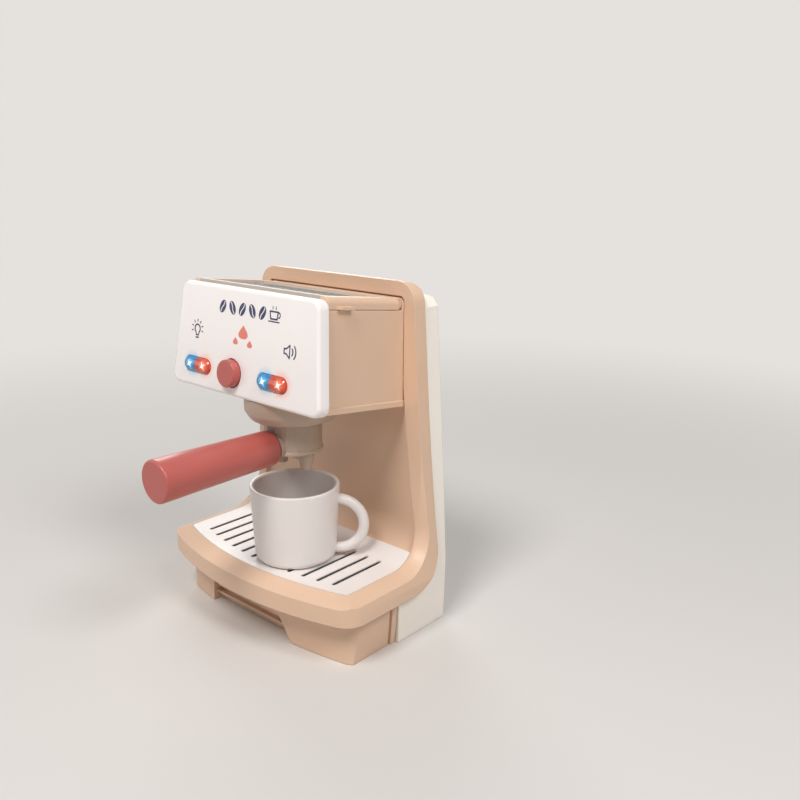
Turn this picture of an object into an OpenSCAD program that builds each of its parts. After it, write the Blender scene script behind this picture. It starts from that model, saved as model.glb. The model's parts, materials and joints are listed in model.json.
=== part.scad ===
// Toy espresso-style coffee maker with a lidded head, start button, turning
// portafilter and mug. Units are millimetres. The origin is the middle of the
// base on the table, +Z is up, the front faces -Y and +X is the right side.

/* [Frame] */
// Height of the upright frame above the head's reference line
frame_above = 36; // [34:1:44]
// Half of the frame's width where its top corners begin
frame_half_top = 66; // [64.5:0.5:68]
// Half of the frame's width at the point that pulls its curved sides
frame_half_waist = 74.5; // [73:0.5:76]
// Height of the point that pulls the frame's curved sides
frame_waist_height = 70; // [64:2:90]
// Half of the recess's width at the point that pulls its curved sides
recess_half_waist = 62; // [61:0.5:63.5]
// Height of the point that pulls the recess's curved sides
recess_waist_height = 95; // [88:1:102]
// Radius of the frame's two top corners
frame_corner = 13; // [9:1:16]
// Front-to-back thickness of the frame's border
border_thickness = 9; // [8:0.5:11]
// How far the wall lies behind the border
recess_depth = 3; // [2.5:0.5:4]
// Position of the frame's flat back face
frame_back = 28; // [27:0.5:30]
// Wall thickness of the moulded shells
shell_wall = 2.2; // [1.8:0.1:2.6]
// Radius of the sweep from the upright wall into the tray
sweep_radius = 22; // [19:1:25]
// Radius of the sweep on the frame's underside
under_radius = 25; // [22:1:28]

/* [Tray] */
// Half of the tray rim's width
rim_half_width = 82.5; // [81:0.5:85]
// Height of the tray's top edge
tray_height = 44; // [42:1:48]
// How far the rim slopes down from the tray to its outer edge
rim_slope = 4; // [3:0.5:5]
// Width of the sloping rim
rim_band = 10; // [8.5:0.5:11]
// Height of the rim's lower edge
rim_bottom = 29; // [27:0.5:31]
// Distance from the middle of the base to the front of the rim
rim_front = 64; // [61:1:67]
// Radius of the bowed front of the rim
rim_bow = 230; // [200:5:280]
// Radius of the rim's front corners
rim_corner = 14; // [12:1:16]
// Distance between the drip slots
slot_pitch = 10.3; // [9.6:0.1:10.6]
// Width of a drip slot
slot_width = 2.6; // [1.8:0.1:3]
// Number of drip slots on each side of the middle
slots_per_side = 6; // [4:1:6]

/* [Base] */
// Half of the base's width at the table
base_half_bottom = 73.5; // [72.5:0.5:75]
// Half of the base's width under the tray
base_half_top = 76; // [75.5:0.5:77]
// Distance from the middle of the base to its front
base_front = 48.5; // [46:0.5:51]
// Radius of the bowed front of the base
base_bow = 350; // [300:10:420]
// Radius of the base's front corners
base_corner = 9; // [6:1:11]
// Position of the base's rear ends beside the back shell
base_rear = -5; // [-7:0.5:-4]
// Height of the finger cut-out in the base's front
cutout_height = 16; // [13:1:18]
// Left end of the finger cut-out
cutout_left = -46.5; // [-52:0.5:-42]
// Right end of the finger cut-out at the table
cutout_right = 29.8; // [24:0.2:36]
// How far the finger cut-out reaches in
cutout_depth = 9; // [7:0.5:11]
// Thickness of the bottom cover
cover_thickness = 2.5; // [2:0.1:3.5]

/* [Back shell] */
// Position of the middle of the crowned back
back_crown = 46; // [45:0.5:49]
// Radius of the crowned back
back_bow = 400; // [340:10:600]
// Half of the back shell's width at its top
back_half_top = 64.9; // [63:0.1:65.5]
// Half of the back shell's width near the base
back_half_base = 77.4; // [76.6:0.2:78.6]
// Half of the back shell's width at the point that pulls its curved sides
back_half_waist = 72.4; // [71.6:0.2:73.2]
// Height of the point that pulls the back shell's curved sides
back_waist_height = 115; // [110:1:120]
// How far the cap's top lies below the frame's top
cap_drop = 9; // [7:1:13]
// Height of the cap above its seam
cap_height = 8; // [6:1:12]
// Rounding of the cap's upper rear edge
cap_round = 7; // [4:0.5:7.5]

/* [Head] */
// Lean of the head, front edge up
head_tilt = 6.7; // [5:0.1:8]
// Height of the head's reference line above the collar's lower edge
head_rise = 42; // [41.6:0.2:44]
// Distance from the frame's border to the head's origin in front of it
head_reach = 39; // [38:0.5:40]
// Half of the head's width
head_half_width = 57.8; // [56:0.2:58.2]
// Depth of the head below its reference line
head_below = 32; // [30:0.5:33]
// Height of the seam under the lid above the reference line
head_above = 24; // [22:0.5:25]
// Wall thickness of the head
head_wall = 3; // [2.4:0.1:3.4]
// Position of the wall between the electronics and the storage bay
bulkhead_place = -8; // [-9:0.5:-5]
// Half of the control panel's width at its top
panel_half_top = 59; // [57:0.5:60]
// Half of the control panel's width at its bottom
panel_half_bottom = 64.2; // [62:0.2:66]
// Radius of the control panel's corners
panel_corner = 6; // [4:0.5:9]
// Distance from the head's origin to the panel's front
panel_reach = 31.1; // [30.3:0.2:32.1]
// Depth of the panel below the head's reference line
panel_below = 32.3; // [31.7:0.1:33]
// Height of the panel above the head's reference line
panel_above = 29.3; // [28.1:0.1:30.1]
// Thickness of the control panel's edge
panel_thickness = 7.4; // [6:0.2:8.4]
// Rounding of the control panel's front edge
panel_round = 2.2; // [1.2:0.2:3]

/* [Lid] */
// Thickness of the lid
lid_thickness = 6.7; // [6:0.1:8]
// Rounding of the lid's long side edges
lid_round = 4; // [2:0.5:5]
// Width of the lid's rim beside the grille
lid_rim = 6; // [5.5:0.5:9]
// Number of slats in the grille
grille_slats = 13; // [9:1:15]
// Radius of the lid's hinge pins
lid_pin_radius = 1.25; // [1:0.05:1.5]
// Length of each finger tab on the lid
tab_length = 10.2; // [7:0.2:12]

/* [Controls] */
// Radius of the start button
button_radius = 7.9; // [7:0.1:8.6]
// How far the start button stands out
button_proud = 4.8; // [3.5:0.1:5.5]
// Travel of the start button
button_travel = 1.5; // [1:0.1:2]
// Length of each light window
light_length = 25; // [22:0.5:26]
// Height of each light window
light_height = 9.2; // [8.4:0.2:11]
// How far the light lenses stand out
light_proud = 2.6; // [1.5:0.1:3.5]

/* [Group] */
// Position of the group's vertical axis from the middle
group_x = 11.5; // [6:0.5:14]
// Position of the group's vertical axis from front to back
group_y = -25; // [-27:0.5:-23]
// Radius of the group collar under the head
collar_radius = 28; // [25:0.5:28.5]
// Height of the collar's lower edge above the tray
group_clearance = 88; // [85:0.5:92]
// Outer radius of the portafilter
portafilter_radius = 16.9; // [16:0.1:18]
// Height of the portafilter below the collar
portafilter_height = 19.5; // [17:0.5:20.5]
// Radius of the portafilter's neck inside the collar
neck_radius = 13.2; // [12.6:0.1:13.6]
// Distance between the two spouts
spout_spacing = 21; // [18:0.5:23]
// How far the spouts reach below the portafilter
spout_length = 11.1; // [8.5:0.1:12]

/* [Handle] */
// How far the handle's axis lies below the collar
handle_drop = 15.5; // [14.5:0.5:16]
// Length of the grip
grip_length = 77.2; // [68:0.2:92]
// Radius of the grip at its free end
grip_end_radius = 11.8; // [10.6:0.2:13]
// Radius of the grip at its root
grip_root_radius = 10.4; // [9.8:0.2:11]

/* [Mug] */
// Height of the mug
mug_height = 46; // [40:1:47]
// Radius of the mug at its rim
mug_radius = 26.8; // [25.4:0.2:27.4]
// Radius of the mug near its bottom
mug_foot_radius = 24.6; // [23.4:0.2:25.2]
// Wall thickness of the mug
mug_wall = 2.5; // [2:0.1:3]
// Radius of the mug handle's ring
mug_ring = 15.7; // [14.1:0.2:16.1]
// Thickness of the mug's handle
mug_ring_thickness = 6.4; // [5:0.2:7]
// Direction of the mug's handle around the mug
mug_turn = 38; // [0:1:60]

/* [Power] */
// Radius of a battery
battery_radius = 7.1; // [6.8:0.1:7.25]
// Length of a battery
battery_length = 50; // [48:0.5:50.5]
// Height of the battery box's lower end
battery_bottom = 62; // [60:1:66]
// Travel of the power switch knob
switch_travel = 4; // [3:0.5:5]

/* [Hidden] */

$fn = 64;
// Gap between pieces that are fitted together and stay still
fit = 0.2;
// Gap between pieces that slide past each other
slide_gap = 0.3;
// Radial gap of a turning fit
running = 0.05;
// Overshoot of a cutting shape
cut = 1;
// Straight pieces in each drawn curve
curve_steps = 20;
// A bowed plan is drawn this far over, then cut to its true arc
bow_over = 0.4;

// Heights are stacked up from the tray
collar_bottom = tray_height + group_clearance;
head_height = collar_bottom + head_rise;
frame_height = head_height + frame_above;
cap_top = frame_height - cap_drop;
handle_height = collar_bottom - handle_drop;
portafilter_top = collar_bottom - 0.2;
portafilter_low = portafilter_top - portafilter_height;
spout_bottom = portafilter_low - spout_length;
lid_low = head_above + slide_gap;
lid_top = lid_low + lid_thickness;

border_face = frame_back - border_thickness;
wall_face = border_face + recess_depth;
sweep_y = border_face - sweep_radius;
sweep_z = tray_height + sweep_radius;
under_y = frame_back - under_radius;
under_z = rim_bottom + under_radius;
rim_edge_z = tray_height - rim_slope;
recess_half_top = head_half_width + 2 * fit;
// The recess ends just above the lid
recess_top = head_height + lid_top / cos(head_tilt) - head_reach * tan(head_tilt) + 0.9;
tray_half = rim_half_width - rim_band;
insert_thickness = recess_depth - 0.1;
insert_skin = 1.4;
back_foot_half = back_half_base - 1;

// Quadratic curve through a and c, pulled towards b
function curve(a, b, c, t) = a * (1 - t) * (1 - t) + b * 2 * t * (1 - t) + c * t * t;
function curve_points(a, b, c) = [for (i = [0 : curve_steps]) curve(a, b, c, i / curve_steps)];
// Adds the left half of an outline to its right half
function both_sides(right) = concat(right,
    [for (i = [len(right) - 1 : -1 : 0]) if (abs(right[i][0]) > 0.001) [-right[i][0], right[i][1]]]);
// Right half of a plan with straight sides, round corners and a bowed front
function bowed(front, bow, half, corner, rear, inset) =
    let (cy = bow - front,
        r = bow - inset,
        h = half - inset,
        c = max(corner - inset, 0.8),
        xc = h - c,
        yc = cy - sqrt((r - c) * (r - c) - xc * xc),
        last = atan2(yc - cy, xc))
    concat([[h, rear]],
        [for (i = [0 : 8]) [xc + c * cos(last * i / 8), yc + c * sin(last * i / 8)]],
        [for (i = [1 : 14]) let (a = last + (-90 - last) * i / 14) [
            (r + bow_over) * cos(a), cy + (r + bow_over) * sin(a)]]);

// That plan, its front cut to a true arc
module bowed_plan(front, bow, half, corner, rear, inset) {
    intersection() {
        polygon(both_sides(bowed(front, bow, half, corner, rear, inset)));
        translate([0, bow - front])
            circle(bow - inset, $fn = 360);
    }
}

// Sweeps a side profile (front to back, height) across the width
module across(width) {
    rotate([90, 0, 90])
        linear_extrude(width, center = true)
            children();
}
// Sweeps a front outline (width, height) from one depth to another
module through(from, to) {
    translate([0, to, 0])
        rotate([90, 0, 0])
            linear_extrude(to - from)
                children();
}
// Sweeps a plan (width, depth) from one height to another
module rise(from, to) {
    translate([0, 0, from])
        linear_extrude(to - from)
            children();
}
// Copies a piece to the left and the right
module pair() {
    children();
    mirror([1, 0, 0])
        children();
}
// The head's own tilted space
module head_space() {
    translate([0, border_face - head_reach, head_height])
        rotate([-head_tilt, 0, 0])
            children();
}
// A cylinder along the depth, from one place to another
module rod_y(r, from, to) {
    translate([0, to, 0])
        rotate([90, 0, 0])
            cylinder(r = r, h = to - from);
}
// A cylinder along the width
module rod_x(r, from, to) {
    translate([from, 0, 0])
        rotate([0, 90, 0])
            cylinder(r = r, h = to - from);
}

// ---------------------------------------------------------------- frame

module frame_outline(inset) {
    corner_x = frame_half_top - frame_corner;
    corner_z = frame_height - frame_corner;
    r = frame_corner - inset;
    side = curve_points([frame_half_top, corner_z], [frame_half_waist, frame_waist_height],
        [rim_half_width, rim_edge_z - 4]);
    polygon(both_sides(concat(
        [for (a = [90 : -10 : 10]) [corner_x + r * cos(a), corner_z + r * sin(a)]],
        [for (p = side) [p[0] - inset, p[1]]],
        [[rim_half_width - inset, 0]])));
}

module recess_outline(inset) {
    half = recess_half_top - inset;
    side = curve_points([recess_half_top, head_height - 24],
        [recess_half_waist, recess_waist_height], [tray_half, tray_height - 4]);
    polygon(both_sides(concat(
        [[half - 2, recess_top], [half, recess_top - 2]],
        [for (p = side) [p[0] - inset, p[1]]],
        [[tray_half - inset, 0]])));
}

// Everything in front of the frame's face, with the face moved back by d
module before_face(d) {
    translate([-200, sweep_z])
        square([200 + border_face + d, 400]);
    translate([-200, tray_height - d])
        square([200 + sweep_y, 200]);
    translate([sweep_y, sweep_z])
        circle(sweep_radius + d);
}

module frame_profile() {
    difference() {
        translate([-100, rim_bottom])
            square([100 + frame_back, frame_height - rim_bottom]);
        before_face(0);
        // sweep on the underside
        difference() {
            translate([under_y, rim_bottom - cut])
                square([under_radius + cut, under_radius + cut]);
            translate([under_y, under_z])
                circle(under_radius);
        }
        // rounded top edge at the back
        difference() {
            translate([frame_back - 6, frame_height - 6])
                square(7);
            translate([frame_back - 6, frame_height - 6])
                circle(6);
        }
    }
}

module rim_plan(inset) {
    bowed_plan(rim_front, rim_bow, rim_half_width, rim_corner, frame_back + 2, inset);
}

module tray_plan(inset) {
    rim_plan(rim_band + inset);
}

// Cuts the slope between the tray and the rim's outer edge
module rim_slope_cut() {
    over = 5;
    rise_more = rim_slope * over / rim_band;
    // bowed front
    translate([0, rim_bow - rim_front, 0])
        rotate_extrude($fn = 180)
            polygon([[rim_bow + over, rim_edge_z - rise_more],
                [rim_bow - rim_band, tray_height], [rim_bow + over, tray_height]]);
    pair() {
        // beside the tray
        translate([0, -120, 0])
            mirror([0, 1, 0])
                through(-120 - sweep_y, 0)
                    polygon([[tray_half, tray_height],
                        [rim_half_width + over, rim_edge_z - rise_more],
                        [rim_half_width + over, tray_height]]);
        // along the sweep
        translate([0, sweep_y, sweep_z])
            rotate([0, 90, 0])
                rotate_extrude(angle = 90)
                    polygon([[sweep_radius, tray_half],
                        [sweep_radius + rim_slope + rise_more, rim_half_width + over],
                        [sweep_radius, rim_half_width + over]]);
        // up the border until it runs out
        rise(sweep_z, sweep_z + 60)
            polygon([[tray_half, border_face],
                [rim_half_width + over, border_face + rim_slope + rise_more],
                [rim_half_width + over, border_face]]);
    }
}

module drip_well(inset) {
    intersection() {
        tray_plan(inset);
        translate([-100, -100])
            square([200, 100 + sweep_y + 4 - inset]);
    }
}

frame_posts = [[head_half_width - 9.8, head_height - 2], [rim_half_width - 22.5, tray_height + 14]];

module front_frame() {
    color("tan")
    difference() {
        union() {
            difference() {
                intersection() {
                    across(2 * rim_half_width + 4)
                        frame_profile();
                    through(-100, frame_back)
                        frame_outline(0);
                    rise(0, frame_height)
                        rim_plan(0);
                }
                // recessed wall and tray
                intersection() {
                    across(2 * rim_half_width)
                        before_face(recess_depth);
                    through(-120, wall_face + cut)
                        recess_outline(0);
                    rise(0, frame_height)
                        tray_plan(0);
                }
                // hollow behind the face
                intersection() {
                    across(2 * rim_half_width)
                        difference() {
                            translate([-100, 0])
                                square([100 + frame_back + cut, cap_top - shell_wall - 0.3]);
                            before_face(recess_depth + shell_wall);
                        }
                    through(-100, frame_back + cut)
                        frame_outline(shell_wall);
                    rise(0, frame_height)
                        rim_plan(shell_wall);
                }
                rim_slope_cut();
                // drip well under the insert
                rise(0, tray_height)
                    drip_well(8);
            }
            // screw bosses for the back shell
            for (p = frame_posts)
                pair()
                    translate([p[0], 0, p[1]])
                        rod_y(3.6, wall_face + shell_wall / 2, frame_back);
        }
        for (p = frame_posts)
            pair()
                translate([p[0], 0, p[1]])
                    rod_y(screw_radius, wall_face + shell_wall, frame_back + cut);
    }
}

// ---------------------------------------------------------------- drip insert

module drip_insert() {
    color("white")
    difference() {
        intersection() {
            across(2 * rim_half_width)
                difference() {
                    before_face(insert_thickness);
                    before_face(0);
                    // the insert stops part of the way up the sweep
                    translate([sweep_y, sweep_z])
                        rotate(-45)
                            square([80, 200]);
                    translate([sweep_y, sweep_z])
                        square([80, 400]);
                }
            through(-120, frame_back)
                recess_outline(slide_gap);
            rise(0, sweep_z)
                tray_plan(slide_gap);
        }
        // thinner skin over the drip well
        rise(tray_height - recess_depth - cut, tray_height - insert_skin)
            drip_well(9);
        for (i = [0 : slots_per_side - 1])
            pair()
                drip_slot((i + 0.5) * slot_pitch);
    }
}

module drip_slot(x) {
    front = rim_bow - rim_front - sqrt(pow(rim_bow - rim_band - 9, 2) - x * x);
    rear = sweep_y + 3.5;
    rise(tray_height - recess_depth - cut, tray_height + 6) {
        translate([x, front])
            circle(slot_width / 2, $fn = 24);
        translate([x, rear])
            circle(slot_width / 2, $fn = 24);
        translate([x - slot_width / 2, front])
            square([slot_width, rear - front]);
    }
}

// ---------------------------------------------------------------- base

module base_plan(inset) {
    bowed_plan(base_front, base_bow, max(base_half_top, base_half_bottom), base_corner, base_rear,
        inset);
}

module base_front_outline(inset) {
    polygon(both_sides([[base_half_top - inset, rim_bottom], [base_half_bottom - inset, 0]]));
}

// Outline of the finger cut-out, grown by a margin
module cutout_outline(margin) {
    offset(r = margin)
        offset(r = 3)
            offset(delta = -3)
                polygon([[cutout_left, -10], [cutout_left + 1, cutout_height],
                    [cutout_right - 10, cutout_height], [cutout_right, 0], [cutout_right + 4, -10]]);
}

plate_thickness = 2;
screw_radius = 1.3;
// How far the beads at the base's rear ends stand out
bead_proud = 0.8;
cover_posts = [[min(base_half_bottom, base_half_top) - 6.5, -24], [back_foot_half - 11, 18]];

module base_housing() {
    inner_front = -base_front + cutout_depth;
    color("burlywood")
    difference() {
        union() {
            // tapered walls
            difference() {
                intersection() {
                    rise(0, rim_bottom)
                        base_plan(0);
                    through(-base_front - 5, base_rear)
                        base_front_outline(0);
                }
                intersection() {
                    rise(-cut, rim_bottom + cut)
                        base_plan(shell_wall);
                    through(-base_front, base_rear + cut)
                        base_front_outline(shell_wall);
                }
                rise(-cut, rim_bottom + cut)
                    translate([-100, base_rear - cut / 10])
                        square([200, 20]);
            }
            // beads at the rear ends
            pair()
                through(base_rear - 4, base_rear)
                    polygon([[base_half_bottom + bead_proud, 0], [base_half_top + bead_proud, rim_bottom],
                        [base_half_top - 1, rim_bottom], [base_half_bottom - 1, 0]]);
            // walls of the finger cut-out
            intersection() {
                rise(0, rim_bottom)
                    base_plan(0.5);
                through(-base_front - 5, inner_front + shell_wall)
                    intersection() {
                        cutout_outline(shell_wall);
                        translate([-100, 0])
                            square([200, rim_bottom]);
                    }
            }
            // plate that closes the rim from below
            difference() {
                rise(rim_bottom, rim_bottom + plate_thickness)
                    intersection() {
                        rim_plan(shell_wall + fit);
                        translate([-100, -100])
                            square([200, 100 + under_y - 2]);
                    }
                rise(rim_bottom - cut, rim_bottom + plate_thickness + cut)
                    drip_well(12);
            }
            // screw posts for the bottom cover
            pair()
                translate([cover_posts[0][0], cover_posts[0][1], cover_thickness])
                    cylinder(r = 3.6, h = rim_bottom - cover_thickness + plate_thickness / 2);
        }
        // finger cut-out with a ribbed floor
        difference() {
            through(-base_front - 10, inner_front)
                cutout_outline(0);
            for (z = [cutout_height / 3, cutout_height * 2 / 3])
                translate([cutout_left - 5, inner_front - 3, z - 0.9])
                    cube([cutout_right - cutout_left + 10, 8, 1.8]);
        }
        // upright grooves in front of the rear beads
        difference() {
            translate([-100, base_rear - 5.4, -cut])
                cube([200, 1.4, rim_bottom + cut]);
            through(base_rear - 20, base_rear)
                base_front_outline(1.1);
        }
        pair()
            translate([cover_posts[0][0], cover_posts[0][1], 0])
                cylinder(r = screw_radius, h = 16);
    }
}

speaker_place = [35.5 - base_half_bottom, 6];
speaker_radius = 18;

module cover_plan() {
    union() {
        difference() {
            intersection() {
                bowed_plan(base_front, base_bow, base_half_bottom, base_corner, base_rear + cut,
                    shell_wall + fit);
                translate([-100, -60])
                    square([200, 60 + base_rear + cut]);
            }
            // clear of the finger cut-out's walls
            translate([cutout_left - shell_wall - fit, -base_front - 5])
                square([cutout_right - cutout_left + 2 * shell_wall + 2 * fit + 2,
                    5 + cutout_depth + shell_wall + fit]);
        }
        intersection() {
            crown_plan(shell_wall + fit);
            translate([-back_foot_half + shell_wall + fit, base_rear + 0.5])
                square([2 * (back_foot_half - shell_wall - fit), 80]);
        }
    }
}

module bottom_cover() {
    color("linen")
    difference() {
        rise(0, cover_thickness)
            cover_plan();
        for (p = cover_posts)
            pair()
                translate([p[0], p[1], 0]) {
                    translate([0, 0, -cut])
                        cylinder(r = screw_radius + 0.2, h = cover_thickness + 2 * cut);
                    translate([0, 0, -cut])
                        cylinder(r = 3.1, h = cut + 1.2);
                }
        // sound holes
        translate([speaker_place[0], speaker_place[1], -cut]) {
            cylinder(r = 1.1, h = cover_thickness + 2 * cut, $fn = 24);
            for (a = [0 : 60 : 300])
                rotate(a)
                    translate([5, 0, 0])
                        cylinder(r = 1.1, h = cover_thickness + 2 * cut, $fn = 24);
            for (a = [0 : 30 : 330])
                rotate(a + 15)
                    translate([10, 0, 0])
                        cylinder(r = 1.1, h = cover_thickness + 2 * cut, $fn = 24);
        }
    }
}

module speaker() {
    color("dimgray")
    translate([speaker_place[0], speaker_place[1], cover_thickness])
        rotate_extrude()
            polygon([[0, 2], [6, 1.2], [speaker_radius - 4, 2.5], [speaker_radius - 3, 0],
                [speaker_radius, 0], [speaker_radius, 2.4], [speaker_radius - 3, 4],
                [speaker_radius / 2 + 0.5, 6], [speaker_radius / 2 + 0.5, 10], [0, 10]]);
}

// ---------------------------------------------------------------- back shell

module back_outline(inset) {
    side = curve_points([back_half_top, cap_top], [back_half_waist, back_waist_height],
        [back_half_base, tray_height - 4]);
    polygon(both_sides(concat(
        [for (p = side) [p[0] - inset, p[1]]],
        [[back_foot_half - inset, 0]])));
}

// Plan with the crowned back
module crown_plan(inset) {
    r = back_bow - inset;
    cy = back_crown - back_bow;
    polygon(both_sides(concat(
        [for (i = [0 : 16]) let (a = 90 - i * 14 / 16) [r * cos(a), cy + r * sin(a)]],
        [[r * cos(76), -60]])));
}

module back_profile(top) {
    translate([base_rear + 0.5, 0])
        square([80, rim_bottom - 0.1]);
    translate([frame_back, 0])
        square([60, top]);
    difference() {
        translate([under_y, 0])
            square([under_radius + cut, under_z]);
        translate([under_y, under_z])
            circle(under_radius + 0.1);
    }
}

door_half = 25;
door_bottom = battery_bottom - 8;
door_axis_z = battery_bottom + battery_length + 10;
door_barrel = 1.9;
door_axis_y = back_crown - door_barrel - 0.1;
door_pin = 1.2;
switch_z = head_height - 22;
post_head = 3.2;
post_seat = frame_back + 5;

module rear_shell() {
    color("ivory")
    difference() {
        union() {
            difference() {
                intersection() {
                    across(200)
                        back_profile(cap_top - cap_height);
                    through(-60, 60)
                        back_outline(0);
                    rise(0, frame_height)
                        crown_plan(0);
                }
                intersection() {
                    through(-60, 60)
                        back_outline(shell_wall);
                    rise(-cut, frame_height)
                        crown_plan(shell_wall);
                    translate([-100, base_rear - cut, -cut])
                        cube([200, 100, cap_top - cap_height + 2 * cut]);
                }
            }
            // screw tubes onto the frame's bosses
            intersection() {
                for (p = frame_posts)
                    pair()
                        translate([p[0], 0, p[1]])
                            rod_y(post_head + 1.6, frame_back + 0.1, back_crown);
                rise(0, frame_height)
                    crown_plan(0.5);
            }
            // posts for the bottom cover, webbed to the side walls
            pair()
                translate([cover_posts[1][0], cover_posts[1][1], cover_thickness]) {
                    cylinder(r = 3.6, h = 20);
                    translate([0, -1, 0])
                        cube([back_foot_half - cover_posts[1][0] - shell_wall / 2, 2, 20]);
                }
            // ears that carry the battery door's pins
            pair()
                intersection() {
                    translate([door_half, door_axis_y - 3, door_axis_z - 4])
                        cube([5, 10, 8]);
                    rise(0, frame_height)
                        crown_plan(0.3);
                }
        }
        for (p = frame_posts)
            pair()
                translate([p[0], 0, p[1]]) {
                    rod_y(screw_radius + 0.1, frame_back - cut, back_crown + cut);
                    rod_y(post_head, post_seat, back_crown + cut);
                }
        pair()
            translate([cover_posts[1][0], cover_posts[1][1], 0])
                cylinder(r = screw_radius, h = 16);
        // battery opening
        translate([-door_half, frame_back + 6, door_bottom])
            cube([2 * door_half, 40, door_axis_z + door_barrel + slide_gap - door_bottom]);
        pair()
            translate([0, door_axis_y, door_axis_z])
                rod_x(door_pin + running, door_half - cut, door_half + 3.5);
        // slot for the power switch knob
        translate([-7, back_crown - 8, switch_z - 3.3])
            cube([14, 20, 6.6]);
    }
}

module rear_cap() {
    seam = cap_top - cap_height;
    color("ivory")
    difference() {
        intersection() {
            union() {
                across(200)
                    difference() {
                        translate([frame_back, seam])
                            square([60, cap_height]);
                        difference() {
                            translate([back_crown - cap_round - 2.5, cap_top - cap_round])
                                square([60, 60]);
                            translate([back_crown - cap_round - 2.5, cap_top - cap_round])
                                circle(cap_round);
                        }
                    }
                // lip that plugs into the shell
                intersection() {
                    across(200)
                        translate([frame_back, seam - 3])
                            square([60, 4]);
                    through(0, 80)
                        back_outline(shell_wall + fit);
                    rise(0, frame_height)
                        crown_plan(shell_wall + fit);
                }
            }
            through(0, 80)
                intersection() {
                    back_outline(0);
                    polygon(both_sides([[back_half_top - 5, cap_top], [back_half_top + 1.5, seam + 1],
                        [back_half_top + 3, seam - 10]]));
                }
            rise(0, frame_height)
                crown_plan(0);
        }
        intersection() {
            through(0, 80)
                offset(delta = -shell_wall - fit - 1.4)
                    intersection() {
                        back_outline(0);
                        translate([-100, 100])
                            square([200, cap_top - 100]);
                    }
            rise(0, frame_height)
                crown_plan(shell_wall + fit + 3.4);
            translate([-100, frame_back - cut, seam - 10])
                cube([200, 100, 10 + cap_height - shell_wall]);
        }
    }
}

// ---------------------------------------------------------------- battery box

box_wall = 1.3;
box_half = 1.5 * 2 * battery_radius + 0.8;
box_rear = back_crown - shell_wall - 1.6;
box_front = box_rear - 2 * battery_radius - 1 - box_wall;
box_top = battery_bottom + battery_length + 6;

module battery_box() {
    color("white")
    difference() {
        intersection() {
            union() {
                translate([-box_half - box_wall, box_front, battery_bottom])
                    cube([2 * box_half + 2 * box_wall, 40, box_top - battery_bottom]);
                // ears that seat on the back shell beside the opening
                for (z = [battery_bottom + 8, box_top - 16])
                    translate([-door_half - 7, box_rear - 4, z])
                        cube([2 * door_half + 14, 20, 8]);
                // boss for the door screw
                translate([-4, box_front + 3, battery_bottom - 7])
                    cube([8, box_rear - box_front - 3.3, 8]);
            }
            rise(0, frame_height)
                crown_plan(shell_wall + 0.1);
        }
        translate([-box_half, box_front + box_wall, battery_bottom + box_wall])
            cube([2 * box_half, 60, box_top - battery_bottom - 2 * box_wall]);
        translate([0, 0, door_screw_z])
            rod_y(1.7, box_rear - 8, box_rear + 10);
    }
}

battery_y = box_front + box_wall + 0.4 + battery_radius;
battery_z = battery_bottom + box_wall + 2;

module batteries() {
    color("gold")
    for (i = [-1 : 1])
        translate([i * (2 * battery_radius + 0.2), battery_y, battery_z])
            mirror([0, 0, abs(i)])
                translate([0, 0, abs(i) * -battery_length])
                    rotate_extrude()
                        polygon([[0, 0], [battery_radius - 0.4, 0], [battery_radius, 0.4],
                            [battery_radius, battery_length - 2], [battery_radius - 0.6, battery_length - 1.2],
                            [2.7, battery_length - 1.2], [2.7, battery_length], [0, battery_length]]);
}

module battery_contacts() {
    color("silver")
    for (i = [-1 : 1])
        translate([i * (2 * battery_radius + 0.2), battery_y, 0]) {
            contact(battery_bottom + box_wall + 0.05, battery_z - 0.05);
            contact(battery_z + battery_length + 0.05, box_top - box_wall - 0.05);
        }
}

// A pressed contact between a wall of the box and the end of a battery
module contact(from, to) {
    translate([-5, -5, from])
        cube([10, 10, 0.5]);
    translate([0, 0, from])
        cylinder(r1 = 4, r2 = 2.4, h = to - from);
}

module battery_door() {
    color("ivory")
    difference() {
        union() {
            intersection() {
                rise(door_bottom + slide_gap, door_axis_z)
                    difference() {
                        crown_plan(0);
                        crown_plan(shell_wall);
                    }
                translate([-door_half + slide_gap, 0, 0])
                    cube([2 * door_half - 2 * slide_gap, 100, door_axis_z - 1]);
            }
            translate([0, door_axis_y, door_axis_z])
                rod_x(door_barrel, -door_half + slide_gap, door_half - slide_gap);
            translate([0, door_axis_y, door_axis_z])
                rod_x(door_pin, -door_half - 3, door_half + 3);
            // boss round the screw
            intersection() {
                translate([0, 0, door_screw_z])
                    rod_y(3.2, box_rear + 0.3, back_crown);
                rise(0, frame_height)
                    crown_plan(0.4);
            }
        }
        translate([0, 0, door_screw_z]) {
            rod_y(1.5, box_rear - 5, back_crown + cut);
            rod_y(3, back_crown - 1.8, back_crown + cut);
        }
        // finger notch at the lower edge
        translate([14, back_crown - 1, door_bottom])
            rotate([0, 90, 0])
                cylinder(r = 1.2, h = 8);
    }
}

door_screw_z = battery_bottom - 3.5;

module door_screw() {
    color("silver")
    translate([0, 0, door_screw_z])
        difference() {
            union() {
                rod_y(1.3, box_rear - 4, back_crown - 1.9);
                rod_y(2.6, back_crown - 1.75, back_crown - 0.4);
                rod_y(1.3, back_crown - 2, back_crown - 1);
            }
            cross_recess(back_crown - 0.4, 1);
        }
}

// Cross recess in a screw's head whose face lies at y
module cross_recess(y, depth) {
    for (a = [0, 90])
        translate([0, y, 0])
            rotate([0, a, 0])
                cube([0.6, 2 * depth, 2.8], center = true);
}

// ---------------------------------------------------------------- power switch

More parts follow.
